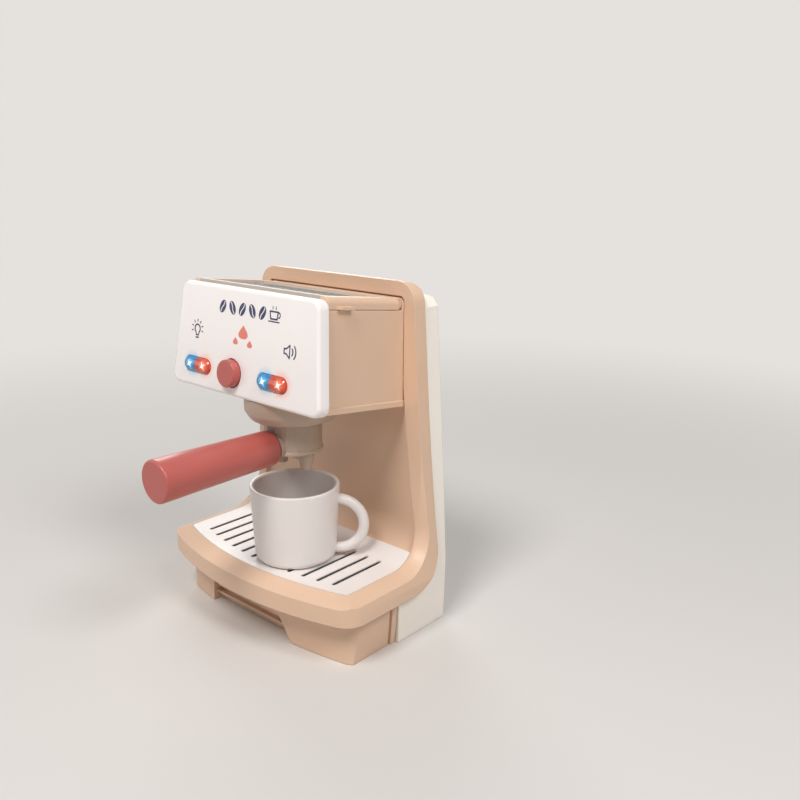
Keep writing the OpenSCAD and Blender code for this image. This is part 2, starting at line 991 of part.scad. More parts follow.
module power_switch() {
    color("black")
    difference() {
        union() {
            translate([-10, back_crown - 13, switch_z - 5])
                cube([20, 8.8, 10]);
            pair()
                translate([8, back_crown - 8, switch_z - 5])
                    cube([4, 5.5, 10]);
        }
        translate([-7.5, back_crown - 6, switch_z - 2.5])
            cube([15, 5, 5]);
    }
}

module switch_knob() {
    half = 2.4;
    color("dimgray")
    translate([-switch_travel / 2, 0, 0]) {
        translate([-half - 1, back_crown - 5.8, switch_z - 2.2])
            cube([2 * half + 2, 2.4, 4.4]);
        difference() {
            translate([-half, back_crown - 4, switch_z - 2.2])
                cube([2 * half, 5.2, 4.4]);
            for (x = [-1.4, 0, 1.4])
                translate([x - 0.25, back_crown + 0.8, switch_z - 3])
                    cube([0.5, 1, 6]);
        }
    }
}

// ---------------------------------------------------------------- head

panel_front = -panel_reach;
panel_low = -panel_below;
panel_high = panel_above;
head_front = panel_front + panel_thickness;
head_low = -head_below;
head_seam = head_above;
lid_axis_z = lid_low + lid_thickness / 2;
lid_barrel = lid_thickness / 2;
head_origin_y = border_face - head_reach;
// Depth, in the head's space, where a barrel of the lid just clears the border
lid_axis_y = (border_face - 0.4 - lid_barrel - head_origin_y - lid_axis_z * sin(head_tilt)) / cos(head_tilt);
board_front = panel_front + 16.7;
board_rear = board_front + 1.6;
board_half = head_half_width - head_wall - 4.8;
board_low = -27;
board_high = 18;
board_posts_x = [4 - board_half, board_half - 4];
board_posts_z = [board_low + 4, board_high - 4];
knuckle_in = 36;
knuckle_out = 44;

// Keeps only what lies in front of the frame's wall
module before_wall(gap) {
    intersection() {
        children();
        translate([-100, -150, 0])
            cube([200, 150 + wall_face - gap, 300]);
    }
}

module head_housing() {
    inner = head_half_width - head_wall;
    color("tan")
    before_wall(0)
    difference() {
        head_space()
            union() {
                difference() {
                    translate([-head_half_width, head_front + 0.1, head_low])
                        cube([2 * head_half_width, 90, head_seam - head_low]);
                    // electronics bay, open to the panel
                    translate([-inner, head_front - cut, head_low + head_wall])
                        cube([2 * inner, bulkhead_place - shell_wall / 2 - head_front + cut,
                            head_seam - head_low - 2 * head_wall + 0.8]);
                    // finger scoops under the lid's tabs
                    pair()
                        translate([head_half_width, tab_place, head_seam])
                            rotate([0, -4.3, 0])
                                translate([0, -tab_length / 2, -20])
                                    cube([10, tab_length, 30]);
                }
                // lip round the bottom
                translate([-head_half_width - 0.6, head_front + 0.1, head_low])
                    cube([2 * head_half_width + 1.2, 90, 3.5]);
                // bosses that carry the control board
                for (x = board_posts_x, z = board_posts_z)
                    translate([x, 0, z])
                        rod_y(3, board_rear, bulkhead_place);
            }
        // storage bay, open to the lid
        intersection() {
            head_space()
                translate([-inner, bulkhead_place + shell_wall / 2, head_low + head_wall])
                    cube([2 * inner, 90, 90]);
            translate([-100, -100, 0])
                cube([200, 100 + wall_face - head_wall, 300]);
        }
        // room for the lid above the seam, up to the strip behind it
        head_space()
            translate([-100, head_front - cut, head_seam])
                cube([200, lid_axis_y - head_front + cut, 30]);
        head_space()
            for (x = board_posts_x, z = board_posts_z)
                translate([x, 0, z])
                    rod_y(0.9, board_rear - cut, bulkhead_place);
    }
    color("tan")
    before_wall(0)
        head_space()
            hinge_strip();
}

// Strip behind the lid with the two knuckles that hold the hinge pins
module hinge_strip() {
    difference() {
        union() {
            translate([-head_half_width, lid_axis_y + lid_barrel + slide_gap, head_seam - 1])
                cube([2 * head_half_width, 30, lid_top - head_seam + 1]);
            pair() {
                translate([0, lid_axis_y, lid_axis_z])
                    rod_x(lid_barrel - 0.2, knuckle_in, knuckle_out);
                translate([knuckle_in, lid_axis_y, head_seam - 1])
                    cube([knuckle_out - knuckle_in, lid_barrel + 1, lid_axis_z - head_seam + 1]);
                translate([knuckle_in, lid_axis_y - 1, head_seam - 8])
                    cube([knuckle_out - knuckle_in, lid_barrel + 8, 8]);
            }
        }
        translate([0, lid_axis_y, lid_axis_z])
            rod_x(lid_pin_radius, -60, 60);
        // rounded upper edges beside the strip
        pair()
            translate([head_half_width - lid_round, -50, lid_top - lid_round])
                difference() {
                    cube([10, 200, 10]);
                    rotate([-90, 0, 0])
                        translate([0, 0, -1])
                            cylinder(r = lid_round, h = 202);
                }
    }
}

tab_place = -11.6;
tab_proud = 3;

module lid_hinge_pins() {
    color("silver")
    head_space()
        pair()
            translate([0, lid_axis_y, lid_axis_z])
                rod_x(lid_pin_radius, knuckle_in - 4, knuckle_out + 7.8);
}

grille_front = head_front + lid_rim;
grille_rear = lid_axis_y - 6.5;
grille_half = head_half_width - lid_rim;
grille_drop = 1.2;
grille_thickness = 2.4;

module lid_frame() {
    color("rosybrown")
    head_space()
    difference() {
        union() {
            difference() {
                translate([-head_half_width, head_front + 0.2, lid_low])
                    cube([2 * head_half_width, lid_axis_y - head_front - 0.2, lid_thickness]);
                pair()
                    translate([head_half_width - lid_round, -50, lid_top - lid_round])
                        difference() {
                            cube([10, 200, 10]);
                            rotate([-90, 0, 0])
                                translate([0, 0, -1])
                                    cylinder(r = lid_round, h = 202);
                        }
            }
            translate([0, lid_axis_y, lid_axis_z])
                rod_x(lid_barrel, -head_half_width + 1.2, head_half_width - 1.2);
            // finger tabs
            pair()
                translate([head_half_width - 1, tab_place - tab_length / 2, lid_low])
                    cube([1 + tab_proud, tab_length, 1.8]);
        }
        // opening and ledge for the grille
        translate([-grille_half + 2, grille_front + 2, lid_low - cut])
            cube([2 * grille_half - 4, grille_rear - grille_front - 4, lid_thickness + 2 * cut]);
        translate([-grille_half, grille_front, lid_top - grille_drop - grille_thickness])
            cube([2 * grille_half, grille_rear - grille_front, lid_thickness]);
        // notches round the knuckles
        pair()
            translate([knuckle_in - slide_gap, lid_axis_y, lid_axis_z]) {
                rod_x(lid_barrel + slide_gap, 0, knuckle_out - knuckle_in + 2 * slide_gap);
                translate([0, 0, -lid_barrel - 2])
                    cube([knuckle_out - knuckle_in + 2 * slide_gap, 20, lid_thickness + 4]);
                translate([0, -lid_barrel - slide_gap, -lid_barrel - 2])
                    cube([knuckle_out - knuckle_in + 2 * slide_gap, lid_barrel + slide_gap, lid_barrel + 2]);
            }
        pair()
            translate([0, lid_axis_y, lid_axis_z])
                rod_x(lid_pin_radius + running, knuckle_in - 4.5, knuckle_out + 8.5);
    }
}

module lid_grille() {
    wide = 2 * grille_half - 2 * fit;
    deep = grille_rear - grille_front - 2 * fit;
    border = 2.2;
    pitch = (deep - 2 * border) / grille_slats;
    column = (wide - 2 * border - 2 * 1.6) / 3;
    color("dimgray")
    head_space()
        translate([-wide / 2, grille_front + fit, lid_top - grille_drop - grille_thickness])
            difference() {
                cube([wide, deep, grille_thickness]);
                // sunken field inside a thin raised border
                translate([1, 1, grille_thickness - 0.6])
                    cube([wide - 2, deep - 2, 1]);
                for (i = [0 : grille_slats - 1], c = [0 : 2])
                    translate([border + c * (column + 1.6), border + (i + 0.28) * pitch, -cut])
                        cube([column, pitch * 0.44, grille_thickness + 2 * cut]);
            }
}

// ---------------------------------------------------------------- control panel

panel_skin = 2.2;
button_x = -8;
button_z = -19;
light_z = -19;
light_places = [-39.6, 26.8];

module panel_outline(inset) {
    low = panel_low + panel_corner;
    high = panel_high - panel_corner;
    hull() {
        for (s = [-1, 1]) {
            translate([s * (panel_half_top - panel_corner), high])
                circle(panel_corner - inset);
            translate([s * (panel_half_bottom - panel_corner), low])
                circle(panel_corner - inset);
        }
    }
}

module front_panel() {
    color("white")
    head_space()
    difference() {
        hull() {
            for (a = [0 : 30 : 90])
                through(panel_front + panel_round * (1 - sin(a)),
                    panel_front + panel_round * (1 - sin(a)) + 0.1)
                    panel_outline(panel_round * (1 - cos(a)));
            through(panel_front + panel_thickness - 0.1, panel_front + panel_thickness)
                panel_outline(0);
        }
        // hollow behind the skin
        through(panel_front + panel_skin, panel_front + panel_thickness + cut)
            panel_outline(panel_skin);
        // button hole
        translate([button_x, 0, button_z])
            rod_y(button_radius + 0.5, panel_front - 5, panel_front + 5);
        // light windows
        for (x = light_places)
            translate([x, 0, light_z])
                through(panel_front - 5, panel_front + 5)
                    capsule(light_length / 2, light_height / 2 + 0.1);
    }
}

// Outline with round ends
module capsule(half, r) {
    translate([-half + r, 0])
        circle(r);
    translate([half - r, 0])
        circle(r);
    translate([-half + r, -r])
        square([2 * (half - r), 2 * r]);
}

// One half of a light, from its round end to the middle
module lens_half() {
    r = light_height / 2 - 0.1;
    run = light_length / 2 - light_height / 2;
    dome = (r * r + light_proud * light_proud) / (2 * light_proud);
    base = panel_front + panel_skin + 0.1;
    // domed half disc
    translate([-run, base, 0])
        rotate([90, 0, 0])
            rotate([0, 0, 90])
                rotate_extrude(angle = 180)
                    lens_section(r, dome);
    translate([-run, base, 0])
        rotate([90, 0, 90])
            linear_extrude(run - 0.1)
                rotate(90)
                    both_halves()
                        lens_section(r, dome);
    // flange behind the skin
    translate([0, base, 0])
        through(0, 1)
            intersection() {
                capsule(light_length / 2 + 1.2, light_height / 2 + 1.2);
                translate([-40, -20])
                    square([40 - 0.1, 40]);
            }
}

module both_halves() {
    children();
    mirror([1, 0])
        children();
}

module lens_section(r, dome) {
    top = panel_skin + light_proud + 0.1;
    intersection() {
        square([r, top]);
        translate([0, top - dome])
            circle(dome);
    }
}

module led_lens_blue() {
    color("deepskyblue")
    head_space()
        for (x = light_places)
            translate([x, 0, light_z])
                lens_half();
}

module led_lens_red() {
    color("orangered")
    head_space()
        for (x = light_places)
            translate([x, 0, light_z])
                mirror([1, 0, 0])
                    lens_half();
}

module leds() {
    color("white")
    head_space()
        for (x = light_places, s = [-6, 6])
            translate([x + s, board_front, light_z])
                rotate([90, 0, 0]) {
                    cylinder(r = 2.9, h = 1);
                    cylinder(r = 2.5, h = 8);
                    translate([0, 0, 8])
                        sphere(r = 2.5);
                }
}

module control_board() {
    color("seagreen")
    head_space()
        difference() {
            through(board_front, board_rear)
                translate([-board_half, board_low])
                    square([2 * board_half, board_high - board_low]);
            for (x = board_posts_x, z = board_posts_z)
                translate([x, 0, z])
                    rod_y(1, board_front - cut, board_rear + cut);
        }
}

module tact_switch() {
    color("black")
    head_space()
        translate([button_x, board_front, button_z])
            rotate([90, 0, 0]) {
                translate([-3, -3, 0])
                    cube([6, 6, 3]);
                cylinder(r = 1.7, h = 4.4);
            }
}

module start_button() {
    face = panel_front - button_proud;
    collar_place = panel_front + panel_skin + 0.15;
    nub = board_front - 4.4;
    color("indianred")
    head_space()
        translate([button_x, 0, button_z])
            difference() {
                union() {
                    translate([0, face, 0])
                        rotate([-90, 0, 0])
                            rotate_extrude()
                                difference() {
                                    square([button_radius, collar_place + 0.5 - face]);
                                    difference() {
                                        translate([button_radius - 0.9, -0.1])
                                            square(1);
                                        translate([button_radius - 0.9, 0.9])
                                            circle(0.9);
                                    }
                                }
                    rod_y(button_radius + 1.6, collar_place, collar_place + 1.2);
                    rod_y(2.2, face + 2, nub - button_travel - 0.1);
                }
                // hollow behind the face
                difference() {
                    rod_y(button_radius - 1.8, face + 2, collar_place + 3);
                    rod_y(2.2, face, nub);
                }
            }
}

// ---------------------------------------------------------------- group

neck_top = collar_bottom + 6.4;
groove_low = collar_bottom + 2.2;
groove_high = collar_bottom + 5.2;
groove_radius = neck_radius + 2.6;
lug_span = 40;

// Solid wedge of a turn around the axis
module sector(from, span, r, low, high) {
    rise(low, high)
        intersection() {
            circle(r);
            polygon([[0, 0], [60 * cos(from), 60 * sin(from)],
                [80 * cos(from + span / 2), 80 * sin(from + span / 2)],
                [60 * cos(from + span), 60 * sin(from + span)]]);
        }
}

module group_collar() {
    color("burlywood")
    difference() {
        translate([group_x, group_y, 0])
            difference() {
                rotate_extrude()
                    polygon([[0, collar_bottom], [collar_radius - 3.4, collar_bottom],
                        [collar_radius - 2.6, collar_bottom + 0.8], [collar_radius, collar_bottom + 5],
                        [collar_radius, collar_bottom + 40], [0, collar_bottom + 40]]);
                // socket for the portafilter's neck
                translate([0, 0, collar_bottom - cut])
                    cylinder(r = neck_radius + running, h = neck_top + 0.6 - collar_bottom + cut);
                translate([0, 0, groove_low])
                    cylinder(r = groove_radius, h = groove_high - groove_low);
                // entries for the two lugs, a part turn away
                for (a = [0, 180])
                    sector(a - 45 - lug_span / 2 - 3, lug_span + 6, groove_radius,
                        collar_bottom - cut, groove_low + 0.5);
            }
        // the head's tilted floor and the panel's lower edge cut the top
        head_space() {
            translate([-100, -100, head_low])
                cube([200, 200, 100]);
            translate([-100, -100, panel_low - fit])
                cube([200, 100 + head_front + 0.1, 100]);
        }
    }
}

module portafilter_body() {
    low = portafilter_low;
    high = portafilter_top;
    color("tan")
    difference() {
        union() {
            translate([group_x, group_y, 0]) {
                rotate_extrude()
                    polygon([[0, low], [portafilter_radius + 0.4, low], [portafilter_radius + 0.4, low + 1.4],
                        [portafilter_radius - 0.2, low + 2], [portafilter_radius - 0.2, high - 0.6],
                        [portafilter_radius - 0.8, high], [neck_radius, high], [neck_radius, neck_top],
                        [0, neck_top]]);
                // upright ribs
                for (a = [11.25 : 22.5 : 350])
                    rotate(a)
                        translate([portafilter_radius - 0.5, 0, low + 1])
                            cylinder(r = 0.6, h = portafilter_height - 2, $fn = 16);
                // bayonet lugs
                for (a = [0, 180])
                    sector(a - lug_span / 2, lug_span, groove_radius - 0.3, groove_low + 0.1,
                        groove_high - 0.3);
            }
            // seat and stem for the grip
            intersection() {
                translate([group_x, 0, handle_height])
                    rod_y(grip_root_radius - 1, grip_root_y + fit, group_y - 12);
                rise(low, high)
                    translate([0, -100])
                        square([100, 100]);
            }
            translate([group_x, 0, handle_height])
                rod_y(stem_radius, grip_root_y - stem_length, grip_root_y + 6);
        }
        // basket
        translate([group_x, group_y, low + 3])
            cylinder(r = neck_radius - 2, h = 60);
        // pilot for the handle screw
        translate([group_x, handle_screw_y, handle_height - stem_radius - cut])
            cylinder(r = screw_radius, h = stem_radius + cut + 2.5);
    }
}

grip_root_y = group_y - portafilter_radius - 0.5;
grip_end_y = grip_root_y - grip_length;
stem_radius = 5.5;
stem_length = 40;
handle_screw_y = grip_root_y - 8;
handle_screw_seat = 8;
spout_radius = 4.6;
spout_end_radius = 3.2;

module portafilter_spouts() {
    top = portafilter_low;
    arm = spout_spacing / 2;
    color("tan")
    translate([group_x, group_y, 0])
        difference() {
            union() {
                translate([0, 0, top - 2.4])
                    cylinder(r = 11, h = 2.3);
                rise(top - 4.4, top - 0.1)
                    capsule(arm + spout_radius, spout_radius);
                pair()
                    translate([arm, 0, spout_bottom])
                        rotate_extrude()
                            polygon([[0, 0], [spout_end_radius - 0.4, 0], [spout_end_radius, 0.4],
                                [spout_radius, spout_length - 4.2], [spout_radius, spout_length - 2],
                                [0, spout_length - 2]]);
            }
            pair()
                translate([arm, 0, spout_bottom - cut])
                    cylinder(r = 1.5, h = 6);
        }
}

module handle_grip() {
    color("indianred")
    difference() {
        translate([group_x, grip_end_y, handle_height])
            rotate([-90, 0, 0])
                difference() {
                    rotate_extrude($fn = 96)
                        grip_profile();
                    // socket for the stem
                    translate([0, 0, grip_length - stem_length - fit])
                        cylinder(r = stem_radius + fit / 2, h = stem_length + fit + cut);
                }
        // screw hole from below, near the root
        translate([group_x, handle_screw_y, handle_height - grip_end_radius - cut]) {
            cylinder(r = 3.2, h = grip_end_radius + cut - handle_screw_seat);
            cylinder(r = screw_radius + 0.1, h = grip_end_radius + cut);
        }
    }
}

// Half section of the grip, free end at 0
module grip_profile() {
    end_round = 1.4;
    root_round = 2.4;
    polygon(concat([[0, 0]],
        [for (a = [-90 : 15 : 0]) [grip_end_radius - end_round + end_round * cos(a),
            end_round + end_round * sin(a)]],
        [for (a = [0 : 15 : 90]) [grip_root_radius - root_round + root_round * cos(a),
            grip_length - root_round + root_round * sin(a)]],
        [[0, grip_length]]));
}

module handle_screw() {
    low = handle_height - handle_screw_seat - 1.9;
    color("silver")
    translate([group_x, handle_screw_y, 0])
        difference() {
            union() {
                translate([0, 0, low])
                    cylinder(r = 2.8, h = 1.85);
                translate([0, 0, low + 1])
                    cylinder(r = screw_radius - 0.05, h = handle_screw_seat + 2.5);
            }
            translate([0, 0, low])
                rotate([90, 0, 0])
                    cross_recess(0, 0.8);
        }
}

// ---------------------------------------------------------------- mug

module mug() {
    foot = tray_height + 0.1;
    bevel = 4;
    color("whitesmoke")
    translate([group_x, group_y, foot])
        difference() {
            union() {
                rotate_extrude($fn = 96)
                    polygon(concat([[0, 0.8], [mug_foot_radius - 5.5, 0.8], [mug_foot_radius - 6, 0]],
                        [for (a = [-90 : 15 : 0]) [mug_foot_radius - bevel + bevel * cos(a),
                            bevel + bevel * sin(a)]],
                        [[mug_radius, mug_height - 1], [mug_radius - 0.4, mug_height - 0.2],
                            [mug_radius - mug_wall / 2, mug_height], [0, mug_height]]));
                rotate([0, 0, mug_turn])
                    translate([mug_radius - 1.1, 0, mug_height / 2 - 2])
                        rotate([90, 0, 0])
                            rotate_extrude($fn = 72)
                                translate([mug_ring, 0])
                                    circle(mug_ring_thickness / 2, $fn = 32);
            }
            mug_inside();
        }
}

// Space inside the mug
module mug_inside() {
    bevel = 3;
    floor_r = mug_foot_radius - mug_wall;
    rotate_extrude($fn = 96)
        polygon(concat([[0, 3]],
            [for (a = [-90 : 18 : 0]) [floor_r - bevel + bevel * cos(a), 3 + bevel + bevel * sin(a)]],
            [[mug_radius - mug_wall, mug_height - 0.8], [mug_radius - mug_wall / 2 - 0.4, mug_height + 0.01],
                [mug_radius - mug_wall / 2 - 0.4, mug_height + 20], [0, mug_height + 20]]));
}

// ---------------------------------------------------------------- screws

module housing_screws() {
    color("silver") {
        for (p = frame_posts)
            pair()
                translate([p[0], 0, p[1]])
                    difference() {
                        union() {
                            rod_y(screw_radius - 0.05, wall_face + shell_wall + 0.3, post_seat + 0.5);
                            rod_y(post_head - 0.4, post_seat + 0.05, post_seat + 2);
                        }
                        cross_recess(post_seat + 2, 1);
                    }
        for (p = cover_posts)
            pair()
                translate([p[0], p[1], 0])
                    difference() {
                        union() {
                            translate([0, 0, 1])
                                cylinder(r = screw_radius - 0.05, h = 10);
                            translate([0, 0, 0.2])
                                cylinder(r = 2.8, h = 0.95);
                        }
                        translate([0, 0, 0.2])
                            rotate([90, 0, 0])
                                cross_recess(0, 0.5);
                    }
    }
}

front_frame();
base_housing();
bottom_cover();
rear_shell();
rear_cap();
head_housing();
front_panel();
led_lens_blue();
led_lens_red();
leds();
control_board();
tact_switch();
group_collar();
drip_insert();
speaker();
battery_box();
batteries();
battery_contacts();
power_switch();
lid_hinge_pins();
housing_screws();
lid_frame();
lid_grille();
start_button();
portafilter_body();
portafilter_spouts();
handle_grip();
handle_screw();
mug();
battery_door();
door_screw();
switch_knob();
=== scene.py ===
"""Looks of the toy coffee maker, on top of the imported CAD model.

Everything is in metres, in the CAD model's own frame: origin in the middle of
the base on the table, +Z up, front towards -Y, +X to the user's right. Lengths
written in millimetres are multiplied by MM.
"""
import json
import math
from functools import reduce

import bmesh
import bpy
from mathutils import Matrix, Vector

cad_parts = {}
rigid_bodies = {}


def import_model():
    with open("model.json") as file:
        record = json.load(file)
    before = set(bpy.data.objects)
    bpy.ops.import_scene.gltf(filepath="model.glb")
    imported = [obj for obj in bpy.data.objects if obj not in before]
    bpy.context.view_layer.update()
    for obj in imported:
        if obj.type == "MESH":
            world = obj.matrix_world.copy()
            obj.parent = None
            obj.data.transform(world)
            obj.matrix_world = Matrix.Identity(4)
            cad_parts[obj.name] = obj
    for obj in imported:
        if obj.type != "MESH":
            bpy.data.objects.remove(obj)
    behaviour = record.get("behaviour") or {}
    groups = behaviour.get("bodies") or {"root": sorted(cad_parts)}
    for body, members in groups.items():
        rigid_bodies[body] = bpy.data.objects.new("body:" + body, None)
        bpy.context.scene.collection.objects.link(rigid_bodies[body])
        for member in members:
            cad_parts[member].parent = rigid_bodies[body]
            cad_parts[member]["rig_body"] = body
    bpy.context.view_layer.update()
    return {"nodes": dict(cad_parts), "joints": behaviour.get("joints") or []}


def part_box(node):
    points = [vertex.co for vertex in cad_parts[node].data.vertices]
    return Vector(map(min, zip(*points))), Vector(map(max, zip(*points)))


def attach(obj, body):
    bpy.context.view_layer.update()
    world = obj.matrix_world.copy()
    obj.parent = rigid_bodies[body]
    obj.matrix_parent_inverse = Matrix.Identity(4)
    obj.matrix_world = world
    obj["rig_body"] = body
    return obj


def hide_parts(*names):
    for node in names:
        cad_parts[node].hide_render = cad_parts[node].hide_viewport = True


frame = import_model()
nodes = frame["nodes"]
scene = bpy.context.scene
MM = 0.001

# ------------------------------------------------------------------ camera

CAMERA_PLACE = Vector((0.3705, -0.3418, 0.2710))
CAMERA_AZIMUTH = math.radians(41.10)
CAMERA_DOWN = math.radians(15.23)
CAMERA_ROLL = math.radians(0.57)
SENSOR_WIDTH = 36  # in millimetres, as Blender takes it
FOCAL_LENGTH = 38.15  # in millimetres
NEAREST_SEEN = 0.01
FARTHEST_SEEN = 30


def place(name, data):
    """Adds an object with this data to the scene."""
    obj = bpy.data.objects.new(name, data)
    scene.collection.objects.link(obj)
    return obj


def make_camera():
    """Looks along the azimuth and down, then rolls about the line of sight."""
    level = math.cos(CAMERA_DOWN)
    forward = Vector((-math.sin(CAMERA_AZIMUTH) * level, math.cos(CAMERA_AZIMUTH) * level,
                      -math.sin(CAMERA_DOWN)))
    right = Vector((math.cos(CAMERA_AZIMUTH), math.sin(CAMERA_AZIMUTH), 0))
    up = right.cross(forward)
    side = right * math.cos(CAMERA_ROLL) + up * math.sin(CAMERA_ROLL)
    top = up * math.cos(CAMERA_ROLL) - right * math.sin(CAMERA_ROLL)
    data = bpy.data.cameras.new("camera")
    data.sensor_width = SENSOR_WIDTH
    data.lens = FOCAL_LENGTH
    data.clip_start = NEAREST_SEEN
    data.clip_end = FARTHEST_SEEN
    obj = place("camera", data)
    turn = Matrix((side, top, -forward)).transposed().to_4x4()
    obj.matrix_world = Matrix.Translation(CAMERA_PLACE) @ turn
    scene.camera = obj


make_camera()

# ------------------------------------------------------------------ places taken from the frame

# The head leans back, and the start button is pressed square to its panel
PRESS_AXIS = next(joint["axis"] for joint in frame["joints"] if joint["name"] == "start_press")
HEAD_TILT = math.atan2(-PRESS_AXIS[2], PRESS_AXIS[1])
HEAD_ORIGIN = Vector((0, -20 * MM, 174 * MM))
HEAD = Matrix.Translation(HEAD_ORIGIN) @ Matrix.Rotation(-HEAD_TILT, 4, "X")
FROM_HEAD = HEAD.inverted()
PANEL_FRONT = min((FROM_HEAD @ vert.co).y for vert in nodes["front_panel"].data.vertices)
# The mug stands just clear of the tray
MUG_CLEARANCE = 0.1 * MM
TRAY_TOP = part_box("mug")[0][2] - MUG_CLEARANCE

# Middles of the lit lamps in the head's space, in millimetres
LAMP_Z = -18.8
BLUE_LAMPS_X = (-44.6, 21.6)
RED_LAMPS_X = (-32.2, 34.4)

# ------------------------------------------------------------------ colours


def srgb(red, green, blue):
    """A colour given as 0-255 display values, as linear light."""
    def linear(value):
        value = value / 255
        return value / 12.92 if value <= 0.04045 else ((value + 0.055) / 1.055) ** 2.4
    return (linear(red), linear(green), linear(blue), 1.0)


def darker(colour, share):
    return tuple(c * share for c in colour[:3]) + (1.0,)


def paler(colour, share):
    return tuple(c + (1 - c) * share for c in colour[:3]) + (1.0,)


BEIGE = srgb(225, 191, 164)
GROUP_BEIGE = srgb(186, 164, 145)
SHELL_WHITE = srgb(251, 243, 233)
PANEL_WHITE = srgb(247, 241, 239)
INSERT_WHITE = srgb(234, 228, 224)
MUG_WHITE = srgb(232, 226, 223)
CORAL = srgb(184, 92, 84)
NAVY_INK = srgb(48, 48, 92)
CORAL_INK = srgb(232, 128, 112)
SLAT_DARK = srgb(80, 78, 76)
SLAT_PALE_STREAK = srgb(160, 156, 151)
PLATED_EDGE = srgb(200, 197, 192)
LID_STRIP_SHADE = srgb(178, 169, 158)
WELL_SHADE = srgb(30, 27, 25)
BLUE_LENS = srgb(2, 124, 186)
BLUE_GLOW = srgb(80, 190, 240)
BLUE_PAINTED_GLOW = srgb(130, 205, 245)
RED_LENS = srgb(206, 62, 30)
RED_GLOW = srgb(255, 150, 100)
RED_PAINTED_GLOW = srgb(255, 178, 146)
LIT_WHITE = (1, 1, 1, 1)
RESIN = srgb(226, 232, 240)
BLACK = srgb(38, 38, 41)
BOARD_GREEN = srgb(34, 104, 66)
ZINC = srgb(190, 190, 194)
SLEEVE_DARK = srgb(46, 50, 58)
SLEEVE_COPPER = srgb(196, 128, 70)
FLOOR_PALE = (0.68, 0.655, 0.63, 1)
BACKGROUND = (0.78, 0.755, 0.73, 1)
SOFT_LIGHT = (1.0, 0.985, 0.97, 1)

# ------------------------------------------------------------------ shader nodes

# Sockets of a Mix node that mixes colours
MIX_FACTOR, MIX_A, MIX_B, MIX_RESULT = 0, 6, 7, 2


def new_material(name):
    mat = bpy.data.materials.new(name)
    mat.use_nodes = True
    return mat, mat.node_tree, mat.node_tree.nodes["Principled BSDF"]


def add(tree, kind, **settings):
    node = tree.nodes.new(kind)
    for key, value in settings.items():
        setattr(node, key, value)
    return node


def feed(tree, socket, value):
    """Sets a socket to a number or colour, or links it to another node's output."""
    if isinstance(value, (int, float, tuple)):
        socket.default_value = value
    else:
        tree.links.new(value, socket)


def object_coords(tree):
    return add(tree, "ShaderNodeTexCoord").outputs["Object"]


def split(tree, vector):
    """The X, Y and Z of a vector."""
    node = add(tree, "ShaderNodeSeparateXYZ")
    tree.links.new(vector, node.inputs[0])
    return node.outputs["X"], node.outputs["Y"], node.outputs["Z"]


def noise(tree, coords, scale, detail=2):
    """Noise round 0.5; scale is roughly how many features there are to a unit of the coordinates."""
    node = add(tree, "ShaderNodeTexNoise")
    node.inputs["Scale"].default_value = scale
    node.inputs["Detail"].default_value = detail
    tree.links.new(coords, node.inputs["Vector"])
    return node.outputs["Fac"]


def mix_colour(tree, factor, a, b):
    node = add(tree, "ShaderNodeMix", data_type="RGBA")
    for index, value in ((MIX_FACTOR, factor), (MIX_A, a), (MIX_B, b)):
        feed(tree, node.inputs[index], value)
    return node.outputs[MIX_RESULT]


def maths(tree, operation, *values, clamp=False):
    node = add(tree, "ShaderNodeMath", operation=operation, use_clamp=clamp)
    for socket, value in zip(node.inputs, values):
        feed(tree, socket, value)
    return node.outputs[0]


def chain(tree, operation, values):
    """One result of several values, such as their MAXIMUM or their product."""
    return reduce(lambda a, b: maths(tree, operation, a, b), values)


def remap(tree, value, low, high, to_low=0.0, to_high=1.0, smooth=False):
    """Maps low..high to to_low..to_high, and stops at both ends."""
    node = add(tree, "ShaderNodeMapRange", clamp=True,
               interpolation_type="SMOOTHSTEP" if smooth else "LINEAR")
    tree.links.new(value, node.inputs["Value"])
    for name, end in (("From Min", low), ("From Max", high), ("To Min", to_low), ("To Max", to_high)):
        node.inputs[name].default_value = end
    return node.outputs["Result"]


def roughen(tree, shader, height, strength, depth, under=None):
    """Small bumps on the surface, or on normals that are rounded already."""
    bump = add(tree, "ShaderNodeBump")
    bump.inputs["Strength"].default_value = strength
    bump.inputs["Distance"].default_value = depth
    tree.links.new(height, bump.inputs["Height"])
    if under:
        tree.links.new(under, bump.inputs["Normal"])
    tree.links.new(bump.outputs["Normal"], shader.inputs["Normal"])


def soft_edges(tree, radius):
    """Normals rounded over the edges, and how far they agree with the true ones."""
    soft = add(tree, "ShaderNodeBevel", samples=6)
    soft.inputs["Radius"].default_value = radius
    geometry = add(tree, "ShaderNodeNewGeometry")
    product = add(tree, "ShaderNodeVectorMath", operation="DOT_PRODUCT")
    tree.links.new(geometry.outputs["True Normal"], product.inputs[0])
    tree.links.new(soft.outputs["Normal"], product.inputs[1])
    return soft.outputs["Normal"], product.outputs["Value"]


def repaint(mat, mask, colour):
    """Lays a colour over what a material shows, where the mask is 1."""
    tree = mat.node_tree
    socket = tree.nodes["Principled BSDF"].inputs["Base Color"]
    shown = socket.links[0].from_socket
    tree.links.new(mix_colour(tree, mask, shown, colour), socket)


# ------------------------------------------------------------------ plastics and metal

# Features to a metre of the tone, the gloss and the grain, and the depth of the grain
DRIFT_SCALE = 14
GLOSS_SCALE = 40
GRAIN_SCALE = 1400
GRAIN_DEPTH = 0.12 * MM
# Agreement of the rounded normal with the true one where an edge begins to get its painted highlight,
# and where the painted highlight is full; and how much paler the edge is there
EDGE_HIGHLIGHT_STARTS, EDGE_HIGHLIGHT_FULL = 0.985, 0.86
EDGE_HIGHLIGHT_PALENESS = 0.45
PLASTIC_SPECULAR = 0.45
COAT_ROUGHNESS = 0.12


